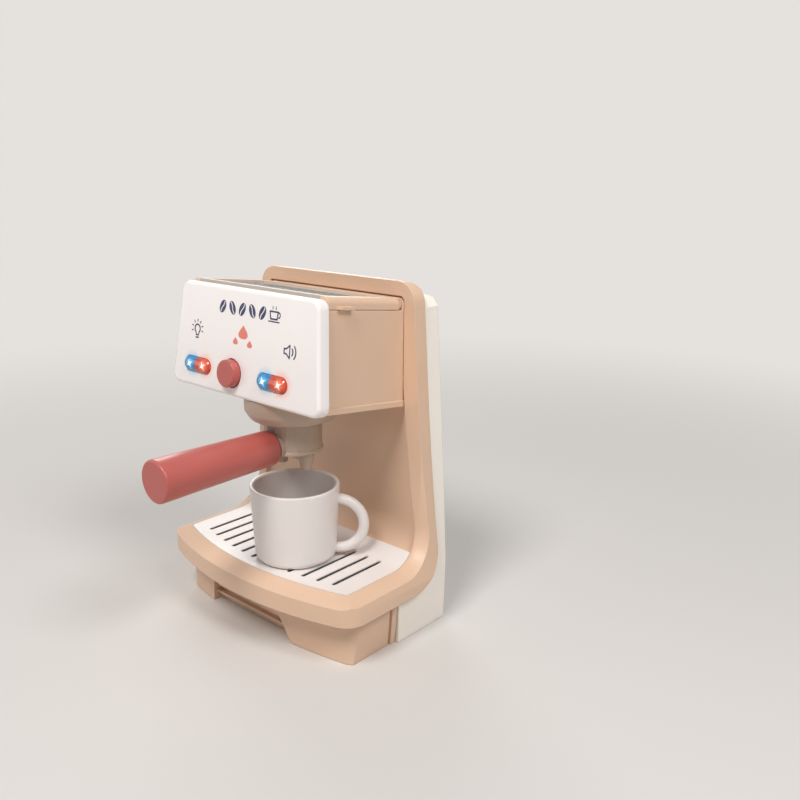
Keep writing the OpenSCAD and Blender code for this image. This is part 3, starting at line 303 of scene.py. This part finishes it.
def moulded(name, colour, rough=0.36, tint=0.03, grain=0.10, edge=0.5, coat=0.0, edge_highlight=0.3, patch=0.04):
    """Moulded plastic: faint tone drift, fine grain, and softened edges made a little paler by a painted
    highlight.

    tint is the share by which the tone drifts, edge the radius in millimetres over which an edge
    is softened, edge_highlight the strength of the painted highlight on the edges, and patch how far the
    roughness comes and goes.
    """
    mat, tree, shader = new_material(name)
    coords = object_coords(tree)
    drift = remap(tree, noise(tree, coords, DRIFT_SCALE), 0.35, 0.65)
    base = mix_colour(tree, drift, darker(colour, 1 - tint), colour)
    normal, agreement = soft_edges(tree, edge * MM)
    # Painted highlight: edges are painted paler where the rounded normal turns away from the true one
    edge_highlight_mask = remap(tree, agreement, EDGE_HIGHLIGHT_STARTS, EDGE_HIGHLIGHT_FULL, 0.0, edge_highlight)
    base = mix_colour(tree, edge_highlight_mask, base, paler(colour, EDGE_HIGHLIGHT_PALENESS))
    tree.links.new(base, shader.inputs["Base Color"])
    gloss = remap(tree, noise(tree, coords, GLOSS_SCALE), 0.3, 0.7, rough - patch, rough + patch)
    tree.links.new(gloss, shader.inputs["Roughness"])
    shader.inputs["Specular IOR Level"].default_value = PLASTIC_SPECULAR
    if coat:
        shader.inputs["Coat Weight"].default_value = coat
        shader.inputs["Coat Roughness"].default_value = COAT_ROUGHNESS
    roughen(tree, shader, noise(tree, coords, GRAIN_SCALE), grain, GRAIN_DEPTH, under=normal)
    return mat


def zinc_material():
    """Plated steel with fine scratches."""
    mat, tree, shader = new_material("zinc_steel")
    coords = object_coords(tree)
    shader.inputs["Metallic"].default_value = 1.0
    drift = remap(tree, noise(tree, coords, 60, detail=3), 0.3, 0.7)
    tree.links.new(mix_colour(tree, drift, darker(ZINC, 0.9), ZINC), shader.inputs["Base Color"])
    scratches = noise(tree, coords, 700, detail=4)
    tree.links.new(remap(tree, scratches, 0.3, 0.7, 0.22, 0.40), shader.inputs["Roughness"])
    roughen(tree, shader, noise(tree, coords, 1800), 0.15, 0.1 * MM)
    return mat


# ------------------------------------------------------------------ materials of single pieces

# Widths of the plated edge at the grille's sides, front and rear
PLATED_SIDE = 1.0 * MM
PLATED_FRONT = 1.2 * MM
PLATED_REAR = 1.4 * MM
# The grille's streaks are long across the lid, and fine from its front to its rear
STREAK_STRETCH = (6, 900, 60)
# Depth in a slot of the tray at which its painted shade is full
WELL_SHADE_DEPTH = 1.1 * MM
# Height of the copper band at the batteries' upper ends
COPPER_BAND = 14.0 * MM
# Width over which one colour turns into another, in moulded pieces and on the batteries
CHANGE = 0.3 * MM
SLEEVE_CHANGE = 0.2 * MM


def grille_material():
    """Dark slats with paler streaks along them, and a plated edge round the field."""
    mat, tree, shader = new_material("grille_plastic")
    coords = object_coords(tree)
    stretch = add(tree, "ShaderNodeMapping")
    stretch.inputs["Scale"].default_value = STREAK_STRETCH
    tree.links.new(coords, stretch.inputs["Vector"])
    streaks = noise(tree, stretch.outputs[0], 1, detail=4)
    slats = mix_colour(tree, remap(tree, streaks, 0.40, 0.62), SLAT_DARK, SLAT_PALE_STREAK)
    low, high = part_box("lid_grille")
    x, y, _ = split(tree, coords)
    side_edge = high[0] - PLATED_SIDE
    front_edge = low[1] + PLATED_FRONT
    rear_edge = high[1] - PLATED_REAR
    side = remap(tree, maths(tree, "ABSOLUTE", x), side_edge - CHANGE, side_edge)
    front = remap(tree, y, front_edge + CHANGE, front_edge)
    rear = remap(tree, y, rear_edge - CHANGE, rear_edge)
    edge = chain(tree, "MAXIMUM", (side, front, rear))
    tree.links.new(mix_colour(tree, edge, slats, PLATED_EDGE), shader.inputs["Base Color"])
    tree.links.new(remap(tree, streaks, 0.3, 0.7, 0.28, 0.5), shader.inputs["Roughness"])
    shader.inputs["Specular IOR Level"].default_value = 0.2
    roughen(tree, shader, streaks, 0.25, 0.2 * MM)
    return mat


def lid_material():
    """Beige rim; the strip between the grille and the panel is given painted shade in a darker grey-beige.
    """
    mat = moulded("lid_plastic", BEIGE, rough=0.36, edge=0.6)
    tree = mat.node_tree
    low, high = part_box("lid_grille")
    x, y, z = split(tree, object_coords(tree))
    front = remap(tree, y, low[1] + CHANGE, low[1])
    inside = remap(tree, maths(tree, "ABSOLUTE", x), high[0] + CHANGE, high[0])
    upper = remap(tree, z, low[2] - 2 * CHANGE, low[2])
    # Painted shade on the rim's top in front of the grille, between the grille's sides
    repaint(mat, chain(tree, "MULTIPLY", (front, inside, upper)), LID_STRIP_SHADE)
    return mat


def insert_material():
    """Pale plate; the walls of its slots get painted shade that darkens with depth under the tray's top.
    """
    mat = moulded("insert_plastic", INSERT_WHITE, rough=0.34, tint=0.012, grain=0.05, patch=0.02)
    tree = mat.node_tree
    height = split(tree, object_coords(tree))[2]
    # Painted shade: the insert's surfaces below the tray's top turn dark with depth
    repaint(mat, remap(tree, height, TRAY_TOP - CHANGE, TRAY_TOP - WELL_SHADE_DEPTH), WELL_SHADE)
    return mat


def battery_material():
    """Printed sleeve in two plain bands."""
    mat, tree, shader = new_material("battery_sleeve")
    coords = object_coords(tree)
    height = split(tree, coords)[2]
    dark_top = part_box("batteries")[1][2] - COPPER_BAND
    upper = remap(tree, height, dark_top - SLEEVE_CHANGE, dark_top)
    tree.links.new(mix_colour(tree, upper, SLEEVE_DARK, SLEEVE_COPPER), shader.inputs["Base Color"])
    tree.links.new(remap(tree, noise(tree, coords, 300), 0.3, 0.7, 0.22, 0.32), shader.inputs["Roughness"])
    shader.inputs["Metallic"].default_value = 0.3
    return mat


# ------------------------------------------------------------------ the lights and their glow

# Each glow ends at its radius, and has its full share of the colour from the smaller radius inwards
CORE_RADIUS, CORE_FULL = 1.5 * MM, 0.3 * MM
HALO_RADIUS, HALO_FULL = 4.6 * MM, 0.6 * MM
PANEL_GLOW_RADIUS, PANEL_GLOW_FULL = 9.5 * MM, 4.2 * MM
HALO_SHARE = 0.6
PANEL_GLOW_SHARE = 0.5
# A ray narrows to nothing at its end, and its sides fade over 1 / RAY_SHARPNESS metres
RAY_LENGTH = 4.4 * MM
RAY_HALF_WIDTH = 0.48 * MM
RAY_SHARPNESS = 2600
RAY_TURN = math.radians(30)
PEBBLE_SCALE = 700
PEBBLE_SHADE = 0.72
# Light given off by the star, the halo and the plastic all over
STAR_LIGHT = 1.3
HALO_LIGHT = 0.55
BODY_LIGHT = 0.06


def head_x_and_z(tree):
    """The X and Z coordinates of the leaning head, along the panel's face."""
    local = add(tree, "ShaderNodeMapping", vector_type="TEXTURE")
    local.inputs["Location"].default_value = HEAD.to_translation()
    local.inputs["Rotation"].default_value = HEAD.to_euler()
    tree.links.new(object_coords(tree), local.inputs["Vector"])
    x, _, z = split(tree, local.outputs[0])
    return x, z


def from_lamp(tree, x, z, lamp_x):
    """Offsets along the panel from a lamp, and the distance from it."""
    dx = maths(tree, "SUBTRACT", x, lamp_x * MM)
    dz = maths(tree, "SUBTRACT", z, LAMP_Z * MM)
    squares = maths(tree, "ADD", maths(tree, "MULTIPLY", dx, dx), maths(tree, "MULTIPLY", dz, dz))
    return dx, dz, maths(tree, "SQRT", squares)


def panel_material():
    """Glossy white plate with a faint painted glow of the lamps' colours round the windows."""
    mat = moulded("panel_plastic", PANEL_WHITE, rough=0.24, tint=0.010, grain=0.04, coat=0.25, edge_highlight=0.0,
                  patch=0.02)
    tree = mat.node_tree
    x, z = head_x_and_z(tree)
    for lamps_x, painted_glow in ((BLUE_LAMPS_X, BLUE_PAINTED_GLOW), (RED_LAMPS_X, RED_PAINTED_GLOW)):
        for lamp_x in lamps_x:
            away = from_lamp(tree, x, z, lamp_x)[2]
            glow_mask = remap(tree, away, PANEL_GLOW_RADIUS, PANEL_GLOW_FULL, 0.0, PANEL_GLOW_SHARE, smooth=True)
            # Painted light: the lamp's colour laid on the panel round its window, fading with distance
            repaint(mat, glow_mask, painted_glow)
    return mat


def lamp_star(tree, dx, dz, away):
    """A painted starburst highlight: 1 in a white core and on four fine rays that cross in it."""
    core = remap(tree, away, CORE_RADIUS, CORE_FULL, smooth=True)
    cos, sin = math.cos(RAY_TURN), math.sin(RAY_TURN)
    along = maths(tree, "ADD", maths(tree, "MULTIPLY", dx, cos), maths(tree, "MULTIPLY", dz, sin))
    across = maths(tree, "SUBTRACT", maths(tree, "MULTIPLY", dz, cos), maths(tree, "MULTIPLY", dx, sin))
    off_ray = maths(tree, "MINIMUM", maths(tree, "ABSOLUTE", along), maths(tree, "ABSOLUTE", across))
    half_width = remap(tree, away, 0.0, RAY_LENGTH, RAY_HALF_WIDTH, 0.0)
    inside = maths(tree, "SUBTRACT", half_width, off_ray)
    return maths(tree, "MAXIMUM", core, maths(tree, "MULTIPLY", inside, RAY_SHARPNESS, clamp=True))


def lens_material(name, body, glow, lamps_x):
    """A lit lens: a painted starburst highlight over each lamp, fading through a halo into the tinted,
    pebbled plastic.
    """
    mat, tree, shader = new_material(name)
    pebbles = remap(tree, noise(tree, object_coords(tree), PEBBLE_SCALE), 0.40, 0.60)
    tinted = mix_colour(tree, pebbles, darker(body, PEBBLE_SHADE), body)
    x, z = head_x_and_z(tree)
    stars = []
    halos = []
    for lamp_x in lamps_x:
        dx, dz, away = from_lamp(tree, x, z, lamp_x)
        stars.append(lamp_star(tree, dx, dz, away))
        halos.append(remap(tree, away, HALO_RADIUS, HALO_FULL, 0.0, HALO_SHARE, smooth=True))
    star = chain(tree, "MAXIMUM", stars)
    halo = chain(tree, "MAXIMUM", halos)
    shown = mix_colour(tree, star, mix_colour(tree, halo, tinted, glow), LIT_WHITE)
    tree.links.new(shown, shader.inputs["Base Color"])
    tree.links.new(shown, shader.inputs["Emission Color"])
    light = chain(tree, "ADD", (maths(tree, "MULTIPLY", star, STAR_LIGHT),
                                maths(tree, "MULTIPLY", halo, HALO_LIGHT), BODY_LIGHT))
    tree.links.new(light, shader.inputs["Emission Strength"])
    tree.links.new(remap(tree, pebbles, 0.0, 1.0, 0.10, 0.16), shader.inputs["Roughness"])
    shader.inputs["Coat Weight"].default_value = 0.5
    shader.inputs["Coat Roughness"].default_value = 0.06
    roughen(tree, shader, pebbles, 0.12, 0.1 * MM)
    return mat


# ------------------------------------------------------------------ which piece has which material

beige = moulded("beige_plastic", BEIGE, rough=0.40, edge=0.7)
group_beige = moulded("group_plastic", GROUP_BEIGE, rough=0.34, edge=0.4)
shell_white = moulded("shell_plastic", SHELL_WHITE, rough=0.42, tint=0.02)
mug_white = moulded("mug_plastic", MUG_WHITE, rough=0.30, tint=0.006, grain=0.04, coat=0.15, edge_highlight=0.2,
                    patch=0.005)
coral = moulded("coral_plastic", CORAL, rough=0.32, tint=0.05, coat=0.15)
button_coral = moulded("button_plastic", CORAL, rough=0.30, tint=0.04, edge=0.3)
black = moulded("black_plastic", BLACK, rough=0.45, edge_highlight=0.1)
board_green = moulded("board_lacquer", BOARD_GREEN, rough=0.30, tint=0.2, edge=0.1)
led_resin = moulded("led_resin", RESIN, rough=0.1, grain=0.0, edge=0.1)
navy_ink = moulded("ink_navy", NAVY_INK, rough=0.35, grain=0.0, edge=0.05)
coral_ink = moulded("ink_coral", CORAL_INK, rough=0.35, grain=0.0, edge=0.05)
steel = zinc_material()

materials = {
    "front_frame": beige,
    "base_housing": beige,
    "head_housing": beige,
    "bottom_cover": shell_white,
    "rear_shell": shell_white,
    "rear_cap": shell_white,
    "battery_box": shell_white,
    "battery_door": shell_white,
    "front_panel": panel_material(),
    "drip_insert": insert_material(),
    "mug": mug_white,
    "group_collar": group_beige,
    "portafilter_body": group_beige,
    "portafilter_spouts": group_beige,
    "lid_frame": lid_material(),
    "lid_grille": grille_material(),
    "start_button": button_coral,
    "handle_grip": coral,
    "led_lens_blue": lens_material("lamp_blue", BLUE_LENS, BLUE_GLOW, BLUE_LAMPS_X),
    "led_lens_red": lens_material("lamp_red", RED_LENS, RED_GLOW, RED_LAMPS_X),
    "leds": led_resin,
    "control_board": board_green,
    "tact_switch": black,
    "speaker": black,
    "power_switch": black,
    "switch_knob": black,
    "batteries": battery_material(),
    "battery_contacts": steel,
    "lid_hinge_pins": steel,
    "housing_screws": steel,
    "handle_screw": steel,
    "door_screw": steel,
}


def dress(obj, mat):
    obj.data.materials.clear()
    obj.data.materials.append(mat)


for name, obj in nodes.items():
    dress(obj, materials[name])

# ------------------------------------------------------------------ refined copies of the CAD pieces

# Edges sharper than CREASE stay edges, and faces that meet at less than FACET become one
CREASE = math.radians(32)
FACET = math.radians(0.4)
SAME_POINT = 0.004 * MM

# Pieces with straight edges, and the widths of their bevels in millimetres
BEVEL_WIDTHS = {
    "front_frame": 0.8,
    "base_housing": 0.6,
    "rear_shell": 0.7,
    "rear_cap": 0.7,
    "head_housing": 0.5,
    "lid_frame": 0.5,
    "drip_insert": 0.35,
    "group_collar": 0.5,
    "portafilter_body": 0.3,
    "battery_door": 0.4,
}
# Pieces that the CAD rounds already, and that only need even shading
ROUNDED_PIECES = ("front_panel", "mug", "handle_grip", "portafilter_spouts", "start_button")


def refined(node):
    """A smooth-shaded copy of a CAD piece with its facets joined, which stands for the node."""
    mesh = nodes[node].data.copy()
    mesh.name = node + "_fine"
    edit = bmesh.new()
    edit.from_mesh(mesh)
    bmesh.ops.remove_doubles(edit, verts=edit.verts, dist=SAME_POINT)
    bmesh.ops.dissolve_limit(edit, angle_limit=FACET, verts=edit.verts, edges=edit.edges)
    edit.to_mesh(mesh)
    edit.free()
    for attribute in ("custom_normal", "sharp_edge", "sharp_face"):
        if attribute in mesh.attributes:
            mesh.attributes.remove(mesh.attributes[attribute])
    mesh.polygons.foreach_set("use_smooth", [True] * len(mesh.polygons))
    mesh.set_sharp_from_angle(angle=CREASE)
    obj = place(node + "_fine", mesh)
    dress(obj, materials[node])
    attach(obj, nodes[node]["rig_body"])
    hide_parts(node)
    return obj


def bevel_edges(obj, width):
    bevel = obj.modifiers.new("edges", "BEVEL")
    bevel.width = width
    bevel.segments = 3
    bevel.limit_method = "ANGLE"
    bevel.angle_limit = CREASE
    bevel.harden_normals = True
    bevel.use_clamp_overlap = True


def shade_evenly(obj):
    """Lets the large faces decide the normals, so that thin facets draw no streaks."""
    even = obj.modifiers.new("even", "WEIGHTED_NORMAL")
    even.mode = "FACE_AREA"
    even.weight = 100
    even.keep_sharp = True


for node, width in BEVEL_WIDTHS.items():
    bevel_edges(refined(node), width * MM)
for node in ROUNDED_PIECES:
    shade_evenly(refined(node))

# ------------------------------------------------------------------ drawing the marks
#
# A mark is a list of shapes, and a shape is a list of (x, z) points in
# millimetres round the mark's own origin.

PRINT_LIFT = 0.06 * MM

# Widths of the drawn lines
BOLD, PLAIN, FINE, THIN = 0.9, 0.8, 0.7, 0.5

# A bean's size, half the gap down its middle, the gap's wave and its share of the length
BEAN_HALF_LENGTH = 4.0
BEAN_HALF_WIDTH = 2.56
BEAN_GAP = 0.34
BEAN_WAVE = 0.36
BEAN_GAP_REACH = 0.93

# A drop's proportions, and how hard its upper end is pinched
DROP_WIDTH = 1.40
DROP_HEIGHT = 0.95
DROP_PINCH = 0.75


def printed(name, shapes, ink, at):
    """Prints a mark on the panel's face, with its origin at this (x, z) of the head's space."""
    edit = bmesh.new()
    for points in shapes:
        ring = [edit.verts.new(((at[0] + x) * MM, PANEL_FRONT - PRINT_LIFT, (at[1] + z) * MM))
                for x, z in points]
        face = edit.faces.new(ring)
        face.normal_update()
        if face.normal.y > 0:
            face.normal_flip()
    bmesh.ops.triangulate(edit, faces=edit.faces)
    mesh = bpy.data.meshes.new(name)
    edit.to_mesh(mesh)
    edit.free()
    mesh.transform(HEAD)
    obj = place(name, mesh)
    dress(obj, ink)
    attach(obj, "body")


def on_circle(x, z, radius, degrees):
    angle = math.radians(degrees)
    return (x + radius * math.cos(angle), z + radius * math.sin(angle))


def arc(x, z, radius, start, end, steps):
    return [on_circle(x, z, radius, start + (end - start) * i / steps) for i in range(steps + 1)]


def stroke(points, width):
    """A drawn line as one quad for each stretch, with round joints."""
    shapes = []
    for (ax, az), (bx, bz) in zip(points, points[1:]):
        length = math.hypot(bx - ax, bz - az)
        nx, nz = -(bz - az) / length * width / 2, (bx - ax) / length * width / 2
        shapes.append([(ax + nx, az + nz), (bx + nx, bz + nz), (bx - nx, bz - nz), (ax - nx, az - nz)])
    joints = [arc(x, z, width / 2, 0, 360, 12)[:-1] for x, z in points]
    return shapes + joints


def bean(x, turn):
    """A coffee bean: two halves on either side of a waved gap, turned by degrees."""
    cos, sin = on_circle(0, 0, 1, turn)
    halves = []
    for side in (-1, 1):
        half = [(side * BEAN_HALF_WIDTH * across, BEAN_HALF_LENGTH * along)
                for across, along in arc(0, 0, 1, -90, 90, 18)]
        for step in range(3, -4, -1):
            along = 0.3 * step
            half.append((side * BEAN_GAP + BEAN_WAVE * math.sin(math.pi * along),
                         BEAN_GAP_REACH * BEAN_HALF_LENGTH * along))
        halves.append([(x + px * cos - pz * sin, px * sin + pz * cos) for px, pz in half])
    return halves


def drop(x, z, size):
    """A water drop: a circle pinched to a point at its top."""
    points = []
    for across, along in arc(0, 0, 1, 0, 360, 32)[:-1]:
        pinch = ((1 - along) / 2) ** DROP_PINCH
        points.append((x + size * DROP_WIDTH * across * pinch, z + size * DROP_HEIGHT * along))
    return points


# ------------------------------------------------------------------ the marks on the panel

BEAN_COUNT = 5
BEAN_STEP = 8.6
BEAN_LEAN = 28


def beans_mark():
    """A row of beans that lean right and left in turn."""
    shapes = []
    for index in range(BEAN_COUNT):
        shapes += bean(BEAN_STEP * index, BEAN_LEAN if index % 2 else -BEAN_LEAN)
    return shapes


def cup_mark():
    """Outline of a cup with a ring handle, on a line, with two wisps over it."""
    shapes = stroke([(-3.3, 5.4), (-2.6, 1.4), (2.6, 1.4), (3.3, 5.4), (-3.3, 5.4)], BOLD)
    shapes += stroke(arc(3.5, 3.8, 1.5, 80, -80, 8), FINE)
    shapes += stroke([(-4.1, 0), (4.3, 0)], FINE)
    for x in (-1.3, 1.3):
        shapes += stroke([(x, 6.7), (x + 0.4, 7.4), (x, 8.1)], THIN)
    return shapes


def bulb_mark():
    """A light bulb with seven short rays."""
    shapes = stroke(arc(0, 0, 2.5, -45, 225, 16), BOLD)
    shapes += stroke([(-1.4, -2.1), (-1.1, -3.7), (1.1, -3.7), (1.4, -2.1)], PLAIN)
    shapes += stroke([(-1.0, -5.1), (1.0, -5.1)], BOLD)
    for angle in range(-15, 196, 35):
        shapes += stroke([on_circle(0, 0, radius, angle) for radius in (4.2, 5.4)], FINE)
    return shapes


def drops_mark():
    """A large drop over two small ones."""
    return [drop(0, 0, 4.1), drop(-6.4, -5.6, 2.2), drop(6.0, -6.0, 2.2)]


def sound_mark():
    """A loudspeaker's outline with two waves."""
    shapes = stroke([(-4.2, -1.3), (-2.5, -1.3), (0.2, -3.5), (0.2, 3.5), (-2.5, 1.3), (-4.2, 1.3),
                     (-4.2, -1.3)], PLAIN)
    for radius in (2.7, 5.0):
        shapes += stroke(arc(0, 0, radius, -42, 42, 10), PLAIN)
    return shapes


printed("print_beans", beans_mark(), navy_ink, at=(-18.6, 17.8))
printed("print_cup", cup_mark(), navy_ink, at=(25.3, 14.2))
printed("print_bulb", bulb_mark(), navy_ink, at=(-41.4, 2.2))
printed("print_drops", drops_mark(), coral_ink, at=(0.4, 5.4))
printed("print_sound", sound_mark(), navy_ink, at=(39.2, 0.0))

# ------------------------------------------------------------------ floor and background

FLOOR_HALF = 6
FLOOR_GAP = 0.2 * MM
FADE_FROM, FADE_TO = 0.25, 1.0


def backdrop_rays(tree):
    """1 for rays that see the background: from the camera, mirrored or through something clear."""
    path = add(tree, "ShaderNodeLightPath")
    kinds = ("Is Camera Ray", "Is Glossy Ray", "Is Transmission Ray")
    return chain(tree, "MAXIMUM", [path.outputs[kind] for kind in kinds])


def blend_shaders(tree, factor, first, second, surface):
    """Gives a surface the first shader where the factor is 0, and the second where it is 1."""
    blend = add(tree, "ShaderNodeMixShader")
    for socket, value in zip(blend.inputs, (factor, first.outputs[0], second.outputs[0])):
        tree.links.new(value, socket)
    tree.links.new(blend.outputs[0], surface)


def floor_material():
    """Matt and pale; far from the toy it fades into the plain background."""
    mat, tree, shader = new_material("floor")
    shader.inputs["Base Color"].default_value = FLOOR_PALE
    shader.inputs["Roughness"].default_value = 0.9
    shader.inputs["Specular IOR Level"].default_value = 0.1
    length = add(tree, "ShaderNodeVectorMath", operation="LENGTH")
    tree.links.new(object_coords(tree), length.inputs[0])
    far = remap(tree, length.outputs["Value"], FADE_FROM, FADE_TO, smooth=True)
    plain = add(tree, "ShaderNodeEmission")
    plain.inputs["Color"].default_value = BACKGROUND
    blend_shaders(tree, maths(tree, "MULTIPLY", far, backdrop_rays(tree)), shader, plain,
                  tree.nodes["Material Output"].inputs["Surface"])
    return mat


def make_floor():
    """A wide floor just under the base, which keeps the toy's shadow."""
    edit = bmesh.new()
    bmesh.ops.create_grid(edit, x_segments=2, y_segments=2, size=FLOOR_HALF)
    mesh = bpy.data.meshes.new("floor")
    edit.to_mesh(mesh)
    edit.free()
    obj = place("floor", mesh)
    obj.location = (0, 0, -FLOOR_GAP)
    dress(obj, floor_material())


make_floor()

# ------------------------------------------------------------------ light

# What the lamps are aimed at
MIDDLE = Vector((0, 0, 0.1))
FRONT = Vector((0, -0.02, 0.11))
NEUTRAL = (1.0, 1.0, 1.0)
WARM = (1.0, 0.985, 0.965)
AROUND_STRENGTH = 0.17


def area_light(name, at, aim, diameter, watts, colour=NEUTRAL):
    data = bpy.data.lights.new(name, "AREA")
    data.shape = "DISK"
    data.size = diameter
    data.energy = watts
    data.color = colour
    obj = place(name, data)
    obj.location = at
    obj.rotation_euler = (aim - Vector(at)).to_track_quat("-Z", "Y").to_euler()


area_light("key", (0.24, -0.94, 1.46), FRONT, diameter=0.6, watts=16.5, colour=WARM)
area_light("right", (1.0, -0.12, 1.15), MIDDLE, diameter=0.5, watts=8.6)
area_light("left", (-1.1, -1.0, 0.55), MIDDLE, diameter=1.0, watts=2.6)
area_light("rear", (-1.0, 0.8, 0.8), MIDDLE, diameter=0.9, watts=6.0)


def make_world():
    """Soft light from all round, and the plain pale background for what sees it directly."""
    world = bpy.data.worlds.new("studio")
    scene.world = world
    world.use_nodes = True
    tree = world.node_tree
    around = tree.nodes["Background"]
    around.inputs["Color"].default_value = SOFT_LIGHT
    around.inputs["Strength"].default_value = AROUND_STRENGTH
    seen = add(tree, "ShaderNodeBackground")
    seen.inputs["Color"].default_value = BACKGROUND
    blend_shaders(tree, backdrop_rays(tree), around, seen, tree.nodes["World Output"].inputs["Surface"])


make_world()

scene.view_settings.view_transform = "Standard"
